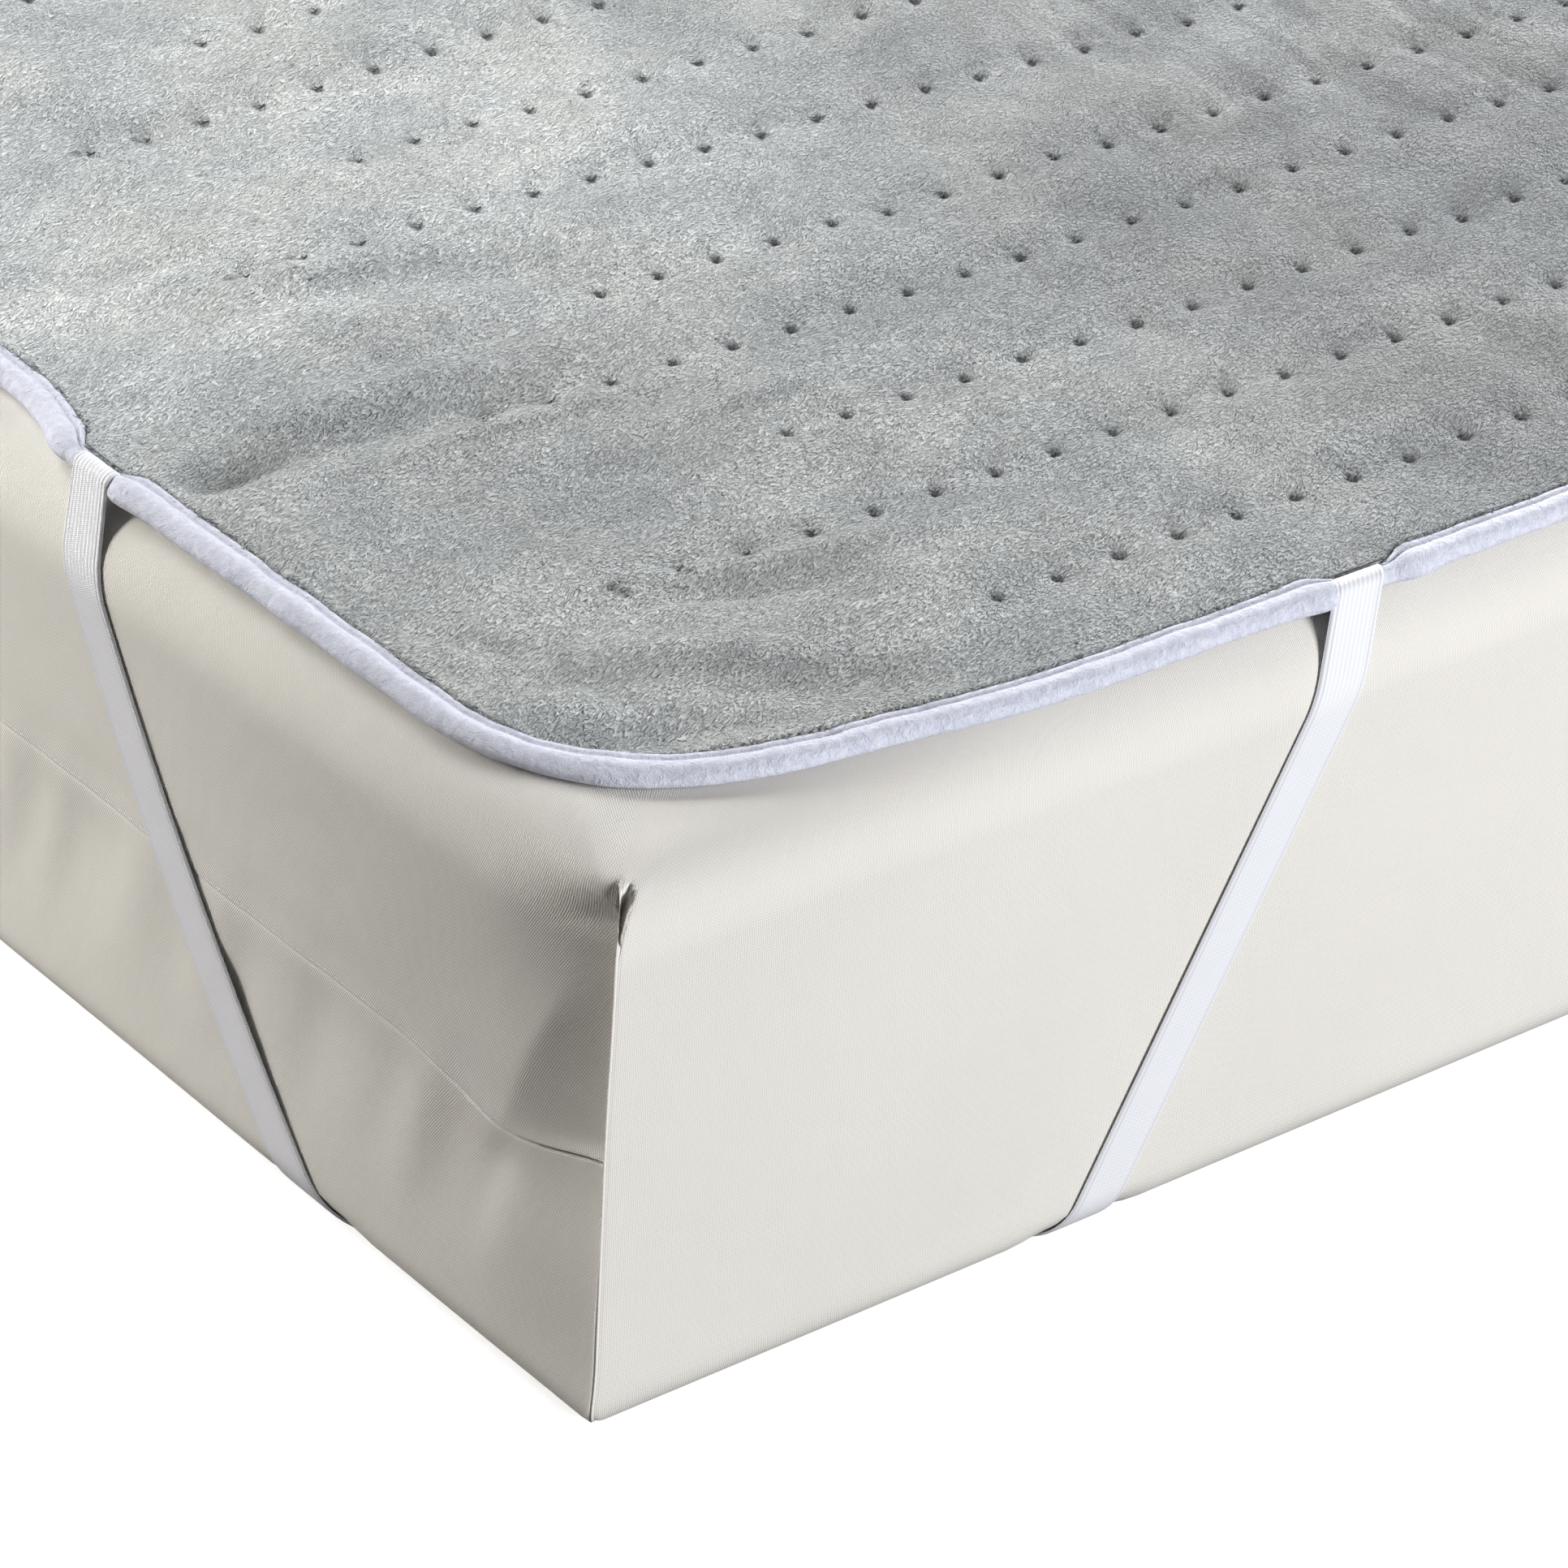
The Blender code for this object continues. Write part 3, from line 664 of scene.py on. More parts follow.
# %% Mark the rows for the pile's dimples, and close the underside
UNDERSIDE_Z = HEIGHT + 0.0008
tack_map = sheet_bm.loops.layers.uv.new("tacks")
for face in sheet_bm.faces:
    row = nearest_row(face.calc_center_median().y)
    for loop in face.loops:
        loop[tack_map].uv = tack_measure(loop.vert.co.x, loop.vert.co.y, row)
for vert in grow_rim(sheet_bm):
    vert.co.z = UNDERSIDE_Z
close_ends(sheet_bm)
sheet = finish_piece("plush_sheet", sheet_bm, 80.0)
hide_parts("underblanket")

# %% [markdown]
# ## The fleece binding
#
# A strip of fleece is folded over the sheet's raw edge and sewn down with one row of stitches. It
# is plump, with a rounded outer edge, a groove where the stitches sink in, and a small roll between
# the groove and the pile. Under a strap it is pressed flat, and beside the strap it bulges. One
# section is swept round the outline, and the section's points are moved as it goes.

# %% Stations round the outline
def outline_stations(pitch):
    """Points round the cut outline, anticlockwise from where the +X end meets its first corner."""
    stations = []
    corners = ((CORE_X, CORE_Y), (-CORE_X, CORE_Y), (-CORE_X, -CORE_Y), (CORE_X, -CORE_Y))
    for k, corner in enumerate(corners):
        following = corners[(k + 1) % 4]
        stations += arc(corner, CORNER_RADIUS, 90 * k, 90 * (k + 1),
                        round(CORNER_RADIUS * math.pi / 2 / pitch))
        start = stations[-1]
        finish = (start[0] + following[0] - corner[0], start[1] + following[1] - corner[1])
        count = round(math.dist(start, finish) / pitch)
        stations += [(mix(start[0], finish[0], t), mix(start[1], finish[1], t))
                     for t in spread_out(0, 1, count + 1)[1:-1]]
    return stations


BINDING_PITCH, STITCH_PITCH, FRINGE_PITCH = 0.0021, 0.0026, 0.00095
binding_stations = outline_stations(BINDING_PITCH)
binding_stations.append(binding_stations[0])
print(f"{len(binding_stations)} stations round the outline")

# %% The section, and how straps change it
BINDING_SECTION = in_metres((  # distance in from the outline and height from the middle, in mm
    (13.7, -0.8), (13.6, 0.7), (13.1, 1.9), (12.3, 2.7), (11.5, 3), (10.7, 2.9), (10, 2.6),
    (9.4, 2.45), (8.8, 2.65), (7.9, 3.2), (6.7, 3.7), (5.3, 3.8), (3.9, 3.6), (2.6, 3), (1.4, 2.1),
    (0.5, 1), (0, -0.3), (0.4, -1.5), (1.3, -2.4), (2.8, -2.9), (5.5, -3), (9, -3), (11.5, -2.7),
))
PRESSED_HEIGHT = 0.0029                    # above the binding's middle, under a strap


def binding_spot(x, y, inset, height, rough=1.0):
    """A point of the binding on the outline's normal at (x, y)."""
    along = beside_strap(x, y)
    pressed = 1 - ease(0.01, 0.015, along)
    bulge = bell(along - 0.021, 0.008)
    lump = wander(x, y, 0.026, 2.0) * 0.0005 + wander(x, y, 0.0085, 7.0) * 0.00022
    sway = wander(x, y, 0.075, 4.0) * 0.0006
    inset -= SEAM_TUG * strap_tug(x, y) * ease(0.003, 0.0125, inset)
    inset -= (0.0018 * bulge + sway) * (1 - pressed) * (1 - inset / 0.0135)
    if height > 0:
        height = height * (1 + 0.3 * bulge) + lump * rough
        height = mix(height, min(height, PRESSED_HEIGHT), pressed)
    outwards = lump * rough * (1 - ease(0.0, 0.004, inset)) * (1 - pressed)
    spot, way = outline_point(x, y, inset - outwards)
    spot -= way * 0.0004 * pressed * (1 - ease(0.0, 0.006, inset))
    return Vector((*draw_in(spot.x, spot.y), BINDING_MID_Z + height))


section_round = running_length(BINDING_SECTION + BINDING_SECTION[:1])
outline_round = running_length(binding_stations)


def binding_place(column, row):
    return binding_spot(*binding_stations[column], *BINDING_SECTION[row % len(BINDING_SECTION)])


binding_bm = shaped_grid(len(binding_stations), len(BINDING_SECTION) + 1, binding_place,
                         lambda c, r: (outline_round[c], section_round[r]))
sew(binding_bm)
binding = finish_piece("fleece_binding", binding_bm, 80.0)
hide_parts("binding")
print(f"the binding is {outline_round[-1]:.3f} m long")

# %% [markdown]
# ## The elastic straps
#
# The straps are ribbed elastic tape. Ribs are too coarse to leave to a bump alone, because they
# show along the strap's bends, so they are part of the swept section. Each strap starts inside the
# seam, rises over the binding, and follows the stations worked out above. The tape's own measure
# runs along and across it, so that its knitted rows stay square to its ribs where it slants.

# %% The strap's section
RIBS = 11
RIB_RISE = (0.00045, 0.00051, 0.00054, 0.00051)        # out from the middle, from one groove on
strap_section = []             # across the strap from -1 to 1, and out from its middle
for k in range(4 * RIBS + 1):
    share = k / (4 * RIBS)
    border = ease(0.0, 0.055, min(share, 1 - share))
    strap_section.append((2 * share - 1, mix(-0.00022, RIB_RISE[k % 4], border)))
strap_section += [(0.99, -0.0004), (0.93, -STRAP_HALF), (-0.93, -STRAP_HALF), (-0.99, -0.0004)]
print(f"{len(strap_section)} points round the section, for {RIBS} ribs")

# %% Sweep the four straps
strap_stations = side_half[1:] + under_part + end_half[:0:-1]
middles = [middle for middle, _, _ in strap_stations]
strap_length = list(accumulate(((b - a).length for a, b in zip(middles, middles[1:])), initial=0.0))


def strap_point(column, row):
    """Place in corner measure, and measure along and across the tape."""
    middle, across, normal = strap_stations[column]
    share, out = strap_section[row % len(strap_section)]
    from_seam = min(strap_length[column], strap_length[-1] - strap_length[column])
    dive = 0.003 * (1 - ease(0.0, 0.0042, from_seam))
    before = strap_stations[max(column - 1, 0)][0]
    after = strap_stations[min(column + 1, len(strap_stations) - 1)][0]
    side = across * (share * STRAP_WIDTH / 2)
    along = strap_length[column] + side.dot((after - before).normalized())
    return middle + side + normal * out - Vector((0, 0, dive)), (along, share * STRAP_WIDTH / 2)


def build_strap(name, corner):
    def place(column, row):
        u, v, z = strap_point(column, row)[0]
        return *to_bed(corner, u, v), z

    bm = shaped_grid(len(strap_stations), len(strap_section) + 1, place,
                     lambda c, r: strap_point(c, r)[1])
    sew(bm)
    close_ends(bm)
    strap = finish_piece(f"elastic_{name}", bm)
    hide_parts(f"strap_{name}")
    return strap


corner_names = ("head_left", "foot_left", "foot_right", "head_right")
straps = [build_strap(name, corner) for name, corner in zip(corner_names, CORNERS)]
print(f"each strap is {strap_length[-1]:.3f} m long")

# %% [markdown]
# ## Threads, stitches and the pile's edge
#
# Small things make cloth look sewn: a dark thread in each tack, the stitches that sink into the
# binding and hold the end panel's seam, and the pile that leans out over the binding. Each is a
# short rod of a few faces, and every kind is joined into one mesh. The dark threads are partly
# painted shade: of the tacks' pits, and of the seam at each strap's end.

# %% Many short rods in one mesh
class Rods:
    """Collects rods in small batches, because adding to a large mesh is slow."""
    BATCH = 50

    def __init__(self):
        self.all, self.batch, self.count = bmesh.new(), bmesh.new(), 0

    def add(self, start, end, radius, tip=None, sides=5):
        way = end - start
        turn = way.to_track_quat("Z", "Y").to_matrix().to_4x4()
        bmesh.ops.create_cone(self.batch, cap_ends=True, segments=sides, radius1=radius,
                              radius2=radius if tip is None else tip, depth=way.length,
                              matrix=Matrix.Translation((start + end) / 2) @ turn)
        self.count += 1
        if self.count % self.BATCH == 0:
            self.pour()

    def pour(self):
        carrier = bpy.data.meshes.new("carrier")
        self.batch.to_mesh(carrier)
        self.all.from_mesh(carrier)
        bpy.data.meshes.remove(carrier)
        self.batch.clear()

    def finish(self, name, slot):
        self.pour()
        self.batch.free()
        return finish_piece(name, self.all)


def towards(degrees, rise):
    turn = math.radians(degrees)
    return Vector((math.cos(turn), math.sin(turn), rise))


print(f"rods are joined {Rods.BATCH} at a time")

# %% A thread in every tack, nearly black with the painted shade of its pit
tack_rods = Rods()
for x, y in tacks:
    lift = sheet_lift(x, y)
    x, y = draw_in(x, y)
    middle = Vector((x, y, SHEET_TOP_Z + lift - 0.0021))
    lie = 24 + 26 * wander(x, y, 0.01, 11.0)
    bar = towards(lie, 0.1) * (0.0016 + 0.0005 * wander(x, y, 0.012, 13.0))
    tack_rods.add(middle - bar, middle + bar, radius=0.00038)
    loose = towards(lie + 150 + 50 * wander(x, y, 0.009, 17.0), 0.55) * 0.0017
    tack_rods.add(middle, middle + loose, radius=0.00026, tip=0.00012)
tack_threads = tack_rods.finish("tack_threads", "grey_plush")

# %% Stitches in the binding's groove
GROOVE = (0.0094, 0.00235)     # the stitches' distance in from the outline, and their height
stitch_rods = Rods()
stitch_stations = outline_stations(STITCH_PITCH)
for here, following in zip(stitch_stations, stitch_stations[1:] + stitch_stations[:1]):
    start, end = binding_spot(*here, *GROOVE, 0.6), binding_spot(*following, *GROOVE, 0.6)
    stitch_rods.add(mix(start, end, 0.2), mix(start, end, 0.8), radius=0.00022)
binding_stitches = stitch_rods.finish("binding_stitches", "lavender_fleece")

# %% Stitches along the end panels' seams
seam_rods = Rods()
SEAM_STITCH_PITCH = 0.0034
count = round((HALF_WIDTH - 0.008) / SEAM_STITCH_PITCH)
for k, (sx, _) in enumerate(CORNERS):
    out = Vector((sx * 0.00002, 0, 0))
    for n in range(count):
        start, end = (cover_spot(k, "end", mix(0.012, 1, (n + step) / count), 0.0,
                                 SEAM_HEIGHT + 0.0015) + out for step in (0.2, 0.8))
        seam_rods.add(start, end, radius=0.00011, sides=4)
seam_stitches = seam_rods.finish("seam_stitches", "mattress_canvas")

# %% Pile leaning over the binding
FRINGE_INSET, FRINGE_ROWS, ROW_STEP = 0.0141, 3, 0.0006
fringe_rods = Rods()
for n, (x, y) in enumerate(outline_stations(FRINGE_PITCH)):
    reach = 0.0024 + 0.0012 * wander(x, y, 0.004, 19.0)
    inset = FRINGE_INSET - SEAM_TUG * strap_tug(x, y) + ROW_STEP * (n % FRINGE_ROWS)
    spot, way = outline_point(x, y, inset)
    root = Vector((*draw_in(spot.x, spot.y), SHEET_TOP_Z - 0.0019 + sheet_lift(spot.x, spot.y)))
    sideways = Vector((-way.y, way.x)) * 0.9 * wander(x, y, 0.003, 23.0)
    lean = Vector((way.x + sideways.x, way.y + sideways.y, 0.75 + 0.5 * wander(x, y, 0.005, 29.0)))
    tip = root + lean.normalized() * (reach + 0.0012)
    fringe_rods.add(root, tip, radius=0.00055, tip=0.0001, sides=3)
pile_fringe = fringe_rods.finish("pile_fringe", "grey_plush")
away = pile_fringe.data.uv_layers.new(name="tacks")
away.data.foreach_set("uv", [0.5, 1.0] * len(away.data))    # half a pitch and a metre from a tack

# %% The dark edge thread over each strap's end, partly a painted shadow of its seam
THREAD_INSET, THREAD_RISE, THREAD_REACH = 0.0082, 0.0031, 0.0105
edge_rods = Rods()
for corner in CORNERS:
    for long_side, middle in ((True, SIDE_STRAP_U), (False, END_STRAP_V)):
        points = []
        for step in spread_out(-THREAD_REACH, THREAD_REACH, 12):
            u, v = middle + step, EDGE_INSET + THREAD_INSET
            if not long_side:
                u, v = v, u
            z = BINDING_MID_Z + THREAD_RISE + 0.00025 * wander(u, v, 0.004, 31.0)
            points.append(Vector((*draw_in(*to_bed(corner, u, v)), z)))
        for start, end in zip(points, points[1:]):
            edge_rods.add(start, end, radius=0.00032)
strap_edge_threads = edge_rods.finish("strap_edge_threads", "grey_plush")

# %% [markdown]
# ## What the cloth was cut from
#
# The underblanket was cut to its whole outline, and the binding and its threads were sewn on.
# Each strap is a straight length of tape, and its size is printed.

print(f"strap tape {STRAP_WIDTH:.3f} x {strap_length[-1]:.3f} m")

# %% [markdown]
# ## The controller inlet
#
# The hand controller plugs into a moulded inlet at the head end. Its solid already has the right
# shape, so it stays and only needs its plastic. The contact pins in its socket, and the stitches
# that hold its flange to the sheet, are added as small pieces.

# %% Pins and flange stitches
inlet_low, inlet_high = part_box("controller_inlet")
inlet_middle = (inlet_low + inlet_high) / 2
PIN_DEPTH, PIN_LENGTH = 0.0205, 0.0085     # the pins start this deep in the socket
pin_rods = Rods()
for row_z in (0.009, 0.012):
    for side in (-0.01, -0.005, 0.0, 0.005, 0.01):
        foot = Vector((inlet_high.x - PIN_DEPTH, inlet_middle.y + side, inlet_low.z + row_z))
        pin_rods.add(foot, foot + Vector((PIN_LENGTH, 0, 0)), radius=0.0006, tip=0.0004, sides=8)
pins = pin_rods.finish("inlet_pins", "inlet_plastic")

FLANGE_INSET, FLANGE_TOP, FLANGE_PITCH = 0.0042, 0.0026, 0.004
flange_rods = Rods()
flange_reach = (inlet_high - inlet_low) / 2 - Vector((FLANGE_INSET, FLANGE_INSET, 0))
flange_corners = [Vector((inlet_middle.x + sx * flange_reach.x,
                          inlet_middle.y + sy * flange_reach.y, inlet_low.z + FLANGE_TOP))
                  for sx, sy in ((-1, -1), (1, -1), (1, 1), (-1, 1))]
for a, b in zip(flange_corners, flange_corners[1:] + flange_corners[:1]):
    count = round((b - a).length / FLANGE_PITCH)
    for n in range(count):
        flange_rods.add(mix(a, b, (n + 0.14) / count), mix(a, b, (n + 0.86) / count),
                        radius=0.00038, sides=6)
flange_stitches = flange_rods.finish("flange_stitches", "inlet_plastic")

# %% [markdown]
# ## Sums on sockets
#
# A finish is worked out by many small sums, such as how dark the pile is between two tufts. Written
# as nodes they are hard to read. The class below wraps a socket so that it can be used in a sum as
# a number is, and each sum adds its own Math node. A signal can also be faded, clouded, turned
# into colours or into a bump. Every node comes from one method, which takes the node's type, the
# values or links of its sockets, and its settings.

# %% A socket that does sums
class Signal:
    def __init__(self, finish, socket):
        self.finish, self.socket, self.node = finish, socket, finish.node

    def sum(self, operation, *values):
        return self.node("Math", dict(enumerate(values)), operation=operation)

    __add__ = __radd__ = lambda self, other: self.sum("ADD", self, other)
    __mul__ = __rmul__ = lambda self, other: self.sum("MULTIPLY", self, other)
    __sub__ = lambda self, other: self.sum("SUBTRACT", self, other)
    __rsub__ = lambda self, other: self.sum("SUBTRACT", other, self)
    __pow__ = lambda self, other: self.sum("POWER", self, other)
    __abs__ = lambda self: self.sum("ABSOLUTE", self)

    def rounded(self):
        return self.sum("ROUND", self)

    def wave(self, length):
        return self.sum("COSINE", self * (2 * math.pi / length))

    def fade(self, start, end, low=0.0, high=1.0):
        return self.node("MapRange", {"Value": self, "From Min": start, "From Max": end,
                                      "To Min": low, "To Max": high},
                         interpolation_type="SMOOTHSTEP")

    def parts(self):
        split = self.node("SeparateXYZ", {0: self})
        return [Signal(self.finish, socket) for socket in split.socket.node.outputs]

    def grain(self, size, turn=0.0):
        """Measure a place in units of this size, in metres, along a grain turned by degrees."""
        rotation = (0.0, 0.0, math.radians(turn))
        return self.node("Mapping", {"Vector": self, "Scale": size, "Rotation": rotation},
                         vector_type="TEXTURE")

    def cloud(self, size=1.0, detail=2.0, rough=0.5, out=0):
        return self.node("TexNoise", {"Vector": self, "Scale": 1 / size, "Detail": detail,
                                      "Roughness": rough}, out)

    def drift(self, size, amount):
        """Shift a place by a slow random amount, so that a grain swirls."""
        swirl = self.cloud(size, 1.0, out="Color")
        centred = self.node("VectorMath", {0: swirl, 1: (0.5,) * 3}, operation="SUBTRACT")
        return self.node("VectorMath", {0: centred, 1: (amount,) * 3, 2: self},
                         operation="MULTIPLY_ADD")

    def blend(self, first, second):
        """The first colour where the signal is 0, and the second where it is 1."""
        return self.node("Mix", {0: self, 6: (*first, 1.0), 7: (*second, 1.0)}, 2,
                         data_type="RGBA")

    def shade(self, colour):
        return self.node("VectorMath", {0: colour, "Scale": self}, operation="SCALE")

    def bump(self, depth, strength=1.0, over=None):
        values = {"Height": self, "Distance": depth, "Strength": strength}
        if over:
            values["Normal"] = over
        return self.node("Bump", values)


print("a signal knows +, -, *, ** and abs(), and can be faded, clouded or blended")

# %% A finish in the making
class Finish:
    """A material with its Principled shader, whose even values are set on its own sockets."""

    def __init__(self, name, even):
        self.material = bpy.data.materials.new(name)
        self.material.use_nodes = True
        self.tree = self.material.node_tree
        self.shader = self.tree.nodes["Principled BSDF"]
        for socket, value in even.items():
            self.shader.inputs[socket].default_value = value

    def node(self, kind, values, out=0, **settings):
        made = self.tree.nodes.new("ShaderNode" + kind)
        for name, value in settings.items():
            setattr(made, name, value)
        for name, value in values.items():
            if isinstance(value, Signal):
                self.tree.links.new(value.socket, made.inputs[name])
            else:
                made.inputs[name].default_value = value
        return Signal(self, made.outputs[out])

    def feed(self, **signals):
        for name, signal in signals.items():
            self.tree.links.new(signal.socket, self.shader.inputs[name.replace("_", " ")])

    def wear(self, *pieces):
        for piece in pieces:
            piece.data.materials.append(self.material)

    def place(self):
        return self.node("TexCoord", {}, "Object")

    def cloth(self, uv_map="UVMap"):
        return self.node("UVMap", {}, uv_map=uv_map)


print("finishes can now be mixed")

# %% [markdown]
# ## Grey plush
#
# Plush is a knitted ground with a short brushed pile. The pile gathers into tufts a few millimetres
# long that lie one way, each of them made of finer fibres, and neighbouring tufts form clumps.
# Where a hand has brushed it the other way, the same pile looks darker or lighter. So the finish is
# layered: tufts, clumps, fibres, brushed patches, and the painted shade that gathers in the
# dimples.
# All of them but the patches also drive the bump. The colour also holds painted shade between the
# tufts and clumps, a painted highlight beside each tack, and painted light and shade that make the
# pile lighter towards the far side and darker along the bed. The layers read the object's
# coordinates, pulled about by a slow drift so that the grain swirls.

# %% The pile's layers
plush = Finish("grey plush", {"Roughness": 0.92, "Sheen Weight": 0.35, "Sheen Roughness": 0.45,
                              "Sheen Tint": (0.9, 0.95, 1.0, 1.0), "Specular IOR Level": 0.12})
place = plush.place()
x, y, _ = place.parts()
fine = place.drift(0.055, 0.016).drift(0.008, 0.0017)
tuft = fine.grain((0.0021, 0.00105, 0.00105), 27).cloud(detail=1.0).fade(0.3, 0.7)
clump = fine.grain((0.011, 0.005, 0.005), 27).cloud()
fibre = fine.grain((0.0022, 0.00038, 0.00038), 20).cloud(detail=1.0, rough=0.6)
patch = place.cloud(0.075, 4.0, 0.55).fade(0.4, 0.62)
fleck = place.drift(0.012, 0.01).cloud(0.024, 3.0, 0.6).fade(0.38, 0.64)
swept = place.drift(0.05, 0.012).grain((0.11, 0.017, 0.02), 84)
stroke = swept.cloud(detail=3.0, rough=0.55).fade(0.4, 0.6)
combed = x.fade(-0.62, -0.4) * place.cloud(0.17).fade(0.42, 0.6)
tousled = 1.0 - 0.62 * (x + 0.05 * patch).fade(-0.7, -0.44)
print("nodes so far:", len(plush.tree.nodes))

# %% Dimples at the tacks
along, gap, _ = plush.cloth("tacks").parts()
along_gap = (along - along.rounded()) * TACK_PITCH
ragged = 0.0016 * place.cloud(0.0022, 1.0)
from_tack = (along_gap ** 2.0 + gap ** 2.0) ** 0.5 + ragged
dimple = 1.0 - from_tack.fade(0.0012, 0.005)
# A painted highlight a little along the row from each tack.
from_painted_tack_glint = ((along_gap - 0.006) ** 2.0 + (gap - 0.0015) ** 2.0) ** 0.5
painted_tack_glint = 1.0 - from_painted_tack_glint.fade(0.0015, 0.0065)

# Partly painted shade: the tufts and clumps are darker between them, where the pile shades itself.
shade = 0.8 + (0.36 * tuft + 0.2 * clump) * tousled + 0.26 * (1.0 - tousled)
shade = shade * (0.7 + 0.6 * fibre) * (0.93 + 0.12 * patch) * (0.93 + 0.12 * fleck)
# Painted light and shade: the pile is lighter towards the far side and darker further along the
# bed.
shade = shade * (1.0 + 0.45 * y.fade(-0.21, -0.08))
shade = shade * (1.0 - 0.12 * x.fade(-0.88, -0.82) - 0.34 * x.fade(-0.68, -0.5))
shade = shade * (1.0 - 0.32 * combed * (1.0 - stroke))
# Painted shade in each dimple, and the painted highlight beside it.
shade = shade * (1.0 - 0.62 * dimple) * (1.0 + 0.13 * painted_tack_glint)
cool = patch.blend((0.452, 0.478, 0.486), (0.476, 0.49, 0.482))
relief = ((tuft + 1.8 * clump) * (0.35 + 0.65 * tousled) - 1.3 * dimple).bump(0.00175)
plush.feed(Base_Color=shade.shade(cool), Normal=fibre.bump(0.0007, over=relief))
plush.wear(sheet, pile_fringe)
print("plush nodes:", len(plush.tree.nodes))

# %% [markdown]
# ## Canvas
#
# The cover's canvas is a plain weave, with thicker threads one way than the other. Each thread
# that comes to the top shows as a small light oval, and the ovals alternate like a chequerboard.
# The weave follows the cloth's own measure. The end panels are cut across the roll, so there the
# two pitches all but change places. Slubs, which are thicker stretches of thread, and a slow
# unevenness in the dye keep it from looking printed.

# %% The weave
SIDE_PITCH, END_PITCH = (0.000725, 0.00044), (0.00044, 0.0007)    # of threads, along and across


def weave(cloth, pitch, cord):
    """Height of a plain weave, about 0 to 1; with more cord, the thicker threads stand out."""
    along, across, _ = cloth.parts()
    warp, weft = along.wave(2 * pitch[0]), across.wave(2 * pitch[1])
    return 0.5 + warp * weft * (0.5 - 0.5 * cord) + (abs(warp) - 0.64) * cord


canvas = Finish("cream canvas", {"Roughness": 0.88, "Sheen Weight": 0.08,
                                 "Specular IOR Level": 0.2})
place, cloth = canvas.place(), canvas.cloth().drift(0.0016, 0.00026)
x, y, _ = place.parts()
on_end = (abs(x) - abs(y) - (HALF_LENGTH - HALF_WIDTH)).fade(-0.0004, 0.0004)
side_weave, end_weave = weave(cloth, SIDE_PITCH, 0.5), weave(cloth, END_PITCH, 0.0)
thread = side_weave + on_end * (end_weave - side_weave)
slub = cloth.grain((0.0007, 0.018, 1.0)).cloud()
slub_across = cloth.grain((0.018, 0.0007, 1.0)).cloud()
dye = place.cloud(0.09, 3.0)
shade = 0.8 + 0.26 * thread + 0.3 * on_end * (thread - 0.5)
shade = shade * (0.955 + 0.045 * (slub + slub_across)) * (0.975 + 0.05 * dye)
cream = dye.blend((0.79, 0.766, 0.722), (0.812, 0.79, 0.75))
relief = place.cloud(0.018).bump(0.0008, 0.3)
canvas.feed(Base_Color=shade.shade(cream),
            Normal=(thread + 0.3 * slub).bump(0.00022, 0.8, relief))
canvas.wear(cover)
print("threads to the centimetre:", [round(0.01 / pitch) for pitch in SIDE_PITCH])

# %% [markdown]
# ## Fleece
#
# The binding is polyester fleece: a matt nap of fine curled fibres without a direction, very pale
# lavender. Its colour hardly changes, so its look comes from a soft bump at two scales, and from
# the sheen that fibres give at a glancing angle. The stitches pull small dimples into its groove,
# and the groove and its dimples are darkened with painted shade.

# %% The fleece and its dimples
GROOVE_ACROSS = 0.0066                     # where the groove lies in the strip's own measure
fleece = Finish("lavender fleece", {"Roughness": 0.95, "Sheen Weight": 0.25,
                                    "Sheen Roughness": 0.5, "Sheen Tint": (0.93, 0.94, 1.0, 1.0),
                                    "Specular IOR Level": 0.1})
place = fleece.place()
nap = place.drift(0.0016, 0.001).cloud(0.0007, rough=0.6)
curl = place.drift(0.005, 0.003).cloud(0.003).fade(0.3, 0.7)
along, across, _ = fleece.cloth().parts()
in_groove = 1.0 - abs(across - GROOVE_ACROSS).fade(0.0002, 0.0012)
pull = in_groove * along.wave(STITCH_PITCH).fade(0.1, 0.9)
shade = (0.8 + 0.38 * nap) * (0.96 + 0.07 * curl)
# Painted shade in the groove and in the stitches' dimples.
shade = shade * (1.0 - 0.1 * in_groove) * (1.0 - 0.06 * pull)
lavender = curl.blend((0.61, 0.634, 0.745), (0.665, 0.683, 0.778))
relief = (curl - 0.5 * in_groove - 0.4 * pull).bump(0.00032, 0.7)
fleece.feed(Base_Color=shade.shade(lavender), Normal=nap.bump(0.00042, 0.9, relief))
fleece.wear(binding, binding_stitches)
print("fleece nodes:", len(fleece.tree.nodes))

# %% [markdown]
# ## Elastic, threads and the moulded inlet
#
# Elastic tape is knitted: fine rows cross each rib, and a plain band runs along each edge. The
# threads are plain cotton. The inlet is a light grey moulding with the faint grain of its mould,
# and its pins are nickel-plated.

# %% Elastic tape
KNIT_PITCH = 0.00066                       # of the fine rows that cross the ribs
elastic = Finish("white elastic", {"Roughness": 0.62, "Sheen Weight": 0.1,
                                   "Specular IOR Level": 0.35})
along, across, _ = elastic.cloth().parts()
rib, row = across.wave(STRAP_WIDTH / RIBS), along.wave(KNIT_PITCH)
from_middle = abs(across)
band = from_middle.fade(0.007, 0.0075) - from_middle.fade(0.0077, 0.0082)
worn = elastic.place().cloud(0.012)
shade = (0.96 + 0.015 * rib + 0.03 * row) * (0.97 + 0.05 * worn) * (1.0 - 0.12 * band)
elastic.feed(Base_Color=shade.shade((0.805, 0.818, 0.866)),
             Normal=(row * 0.3 + rib * 0.4 - band).bump(0.00012, 0.8))
elastic.wear(*straps)
print(f"ribs {STRAP_WIDTH / RIBS * 1000:.2f} mm wide")

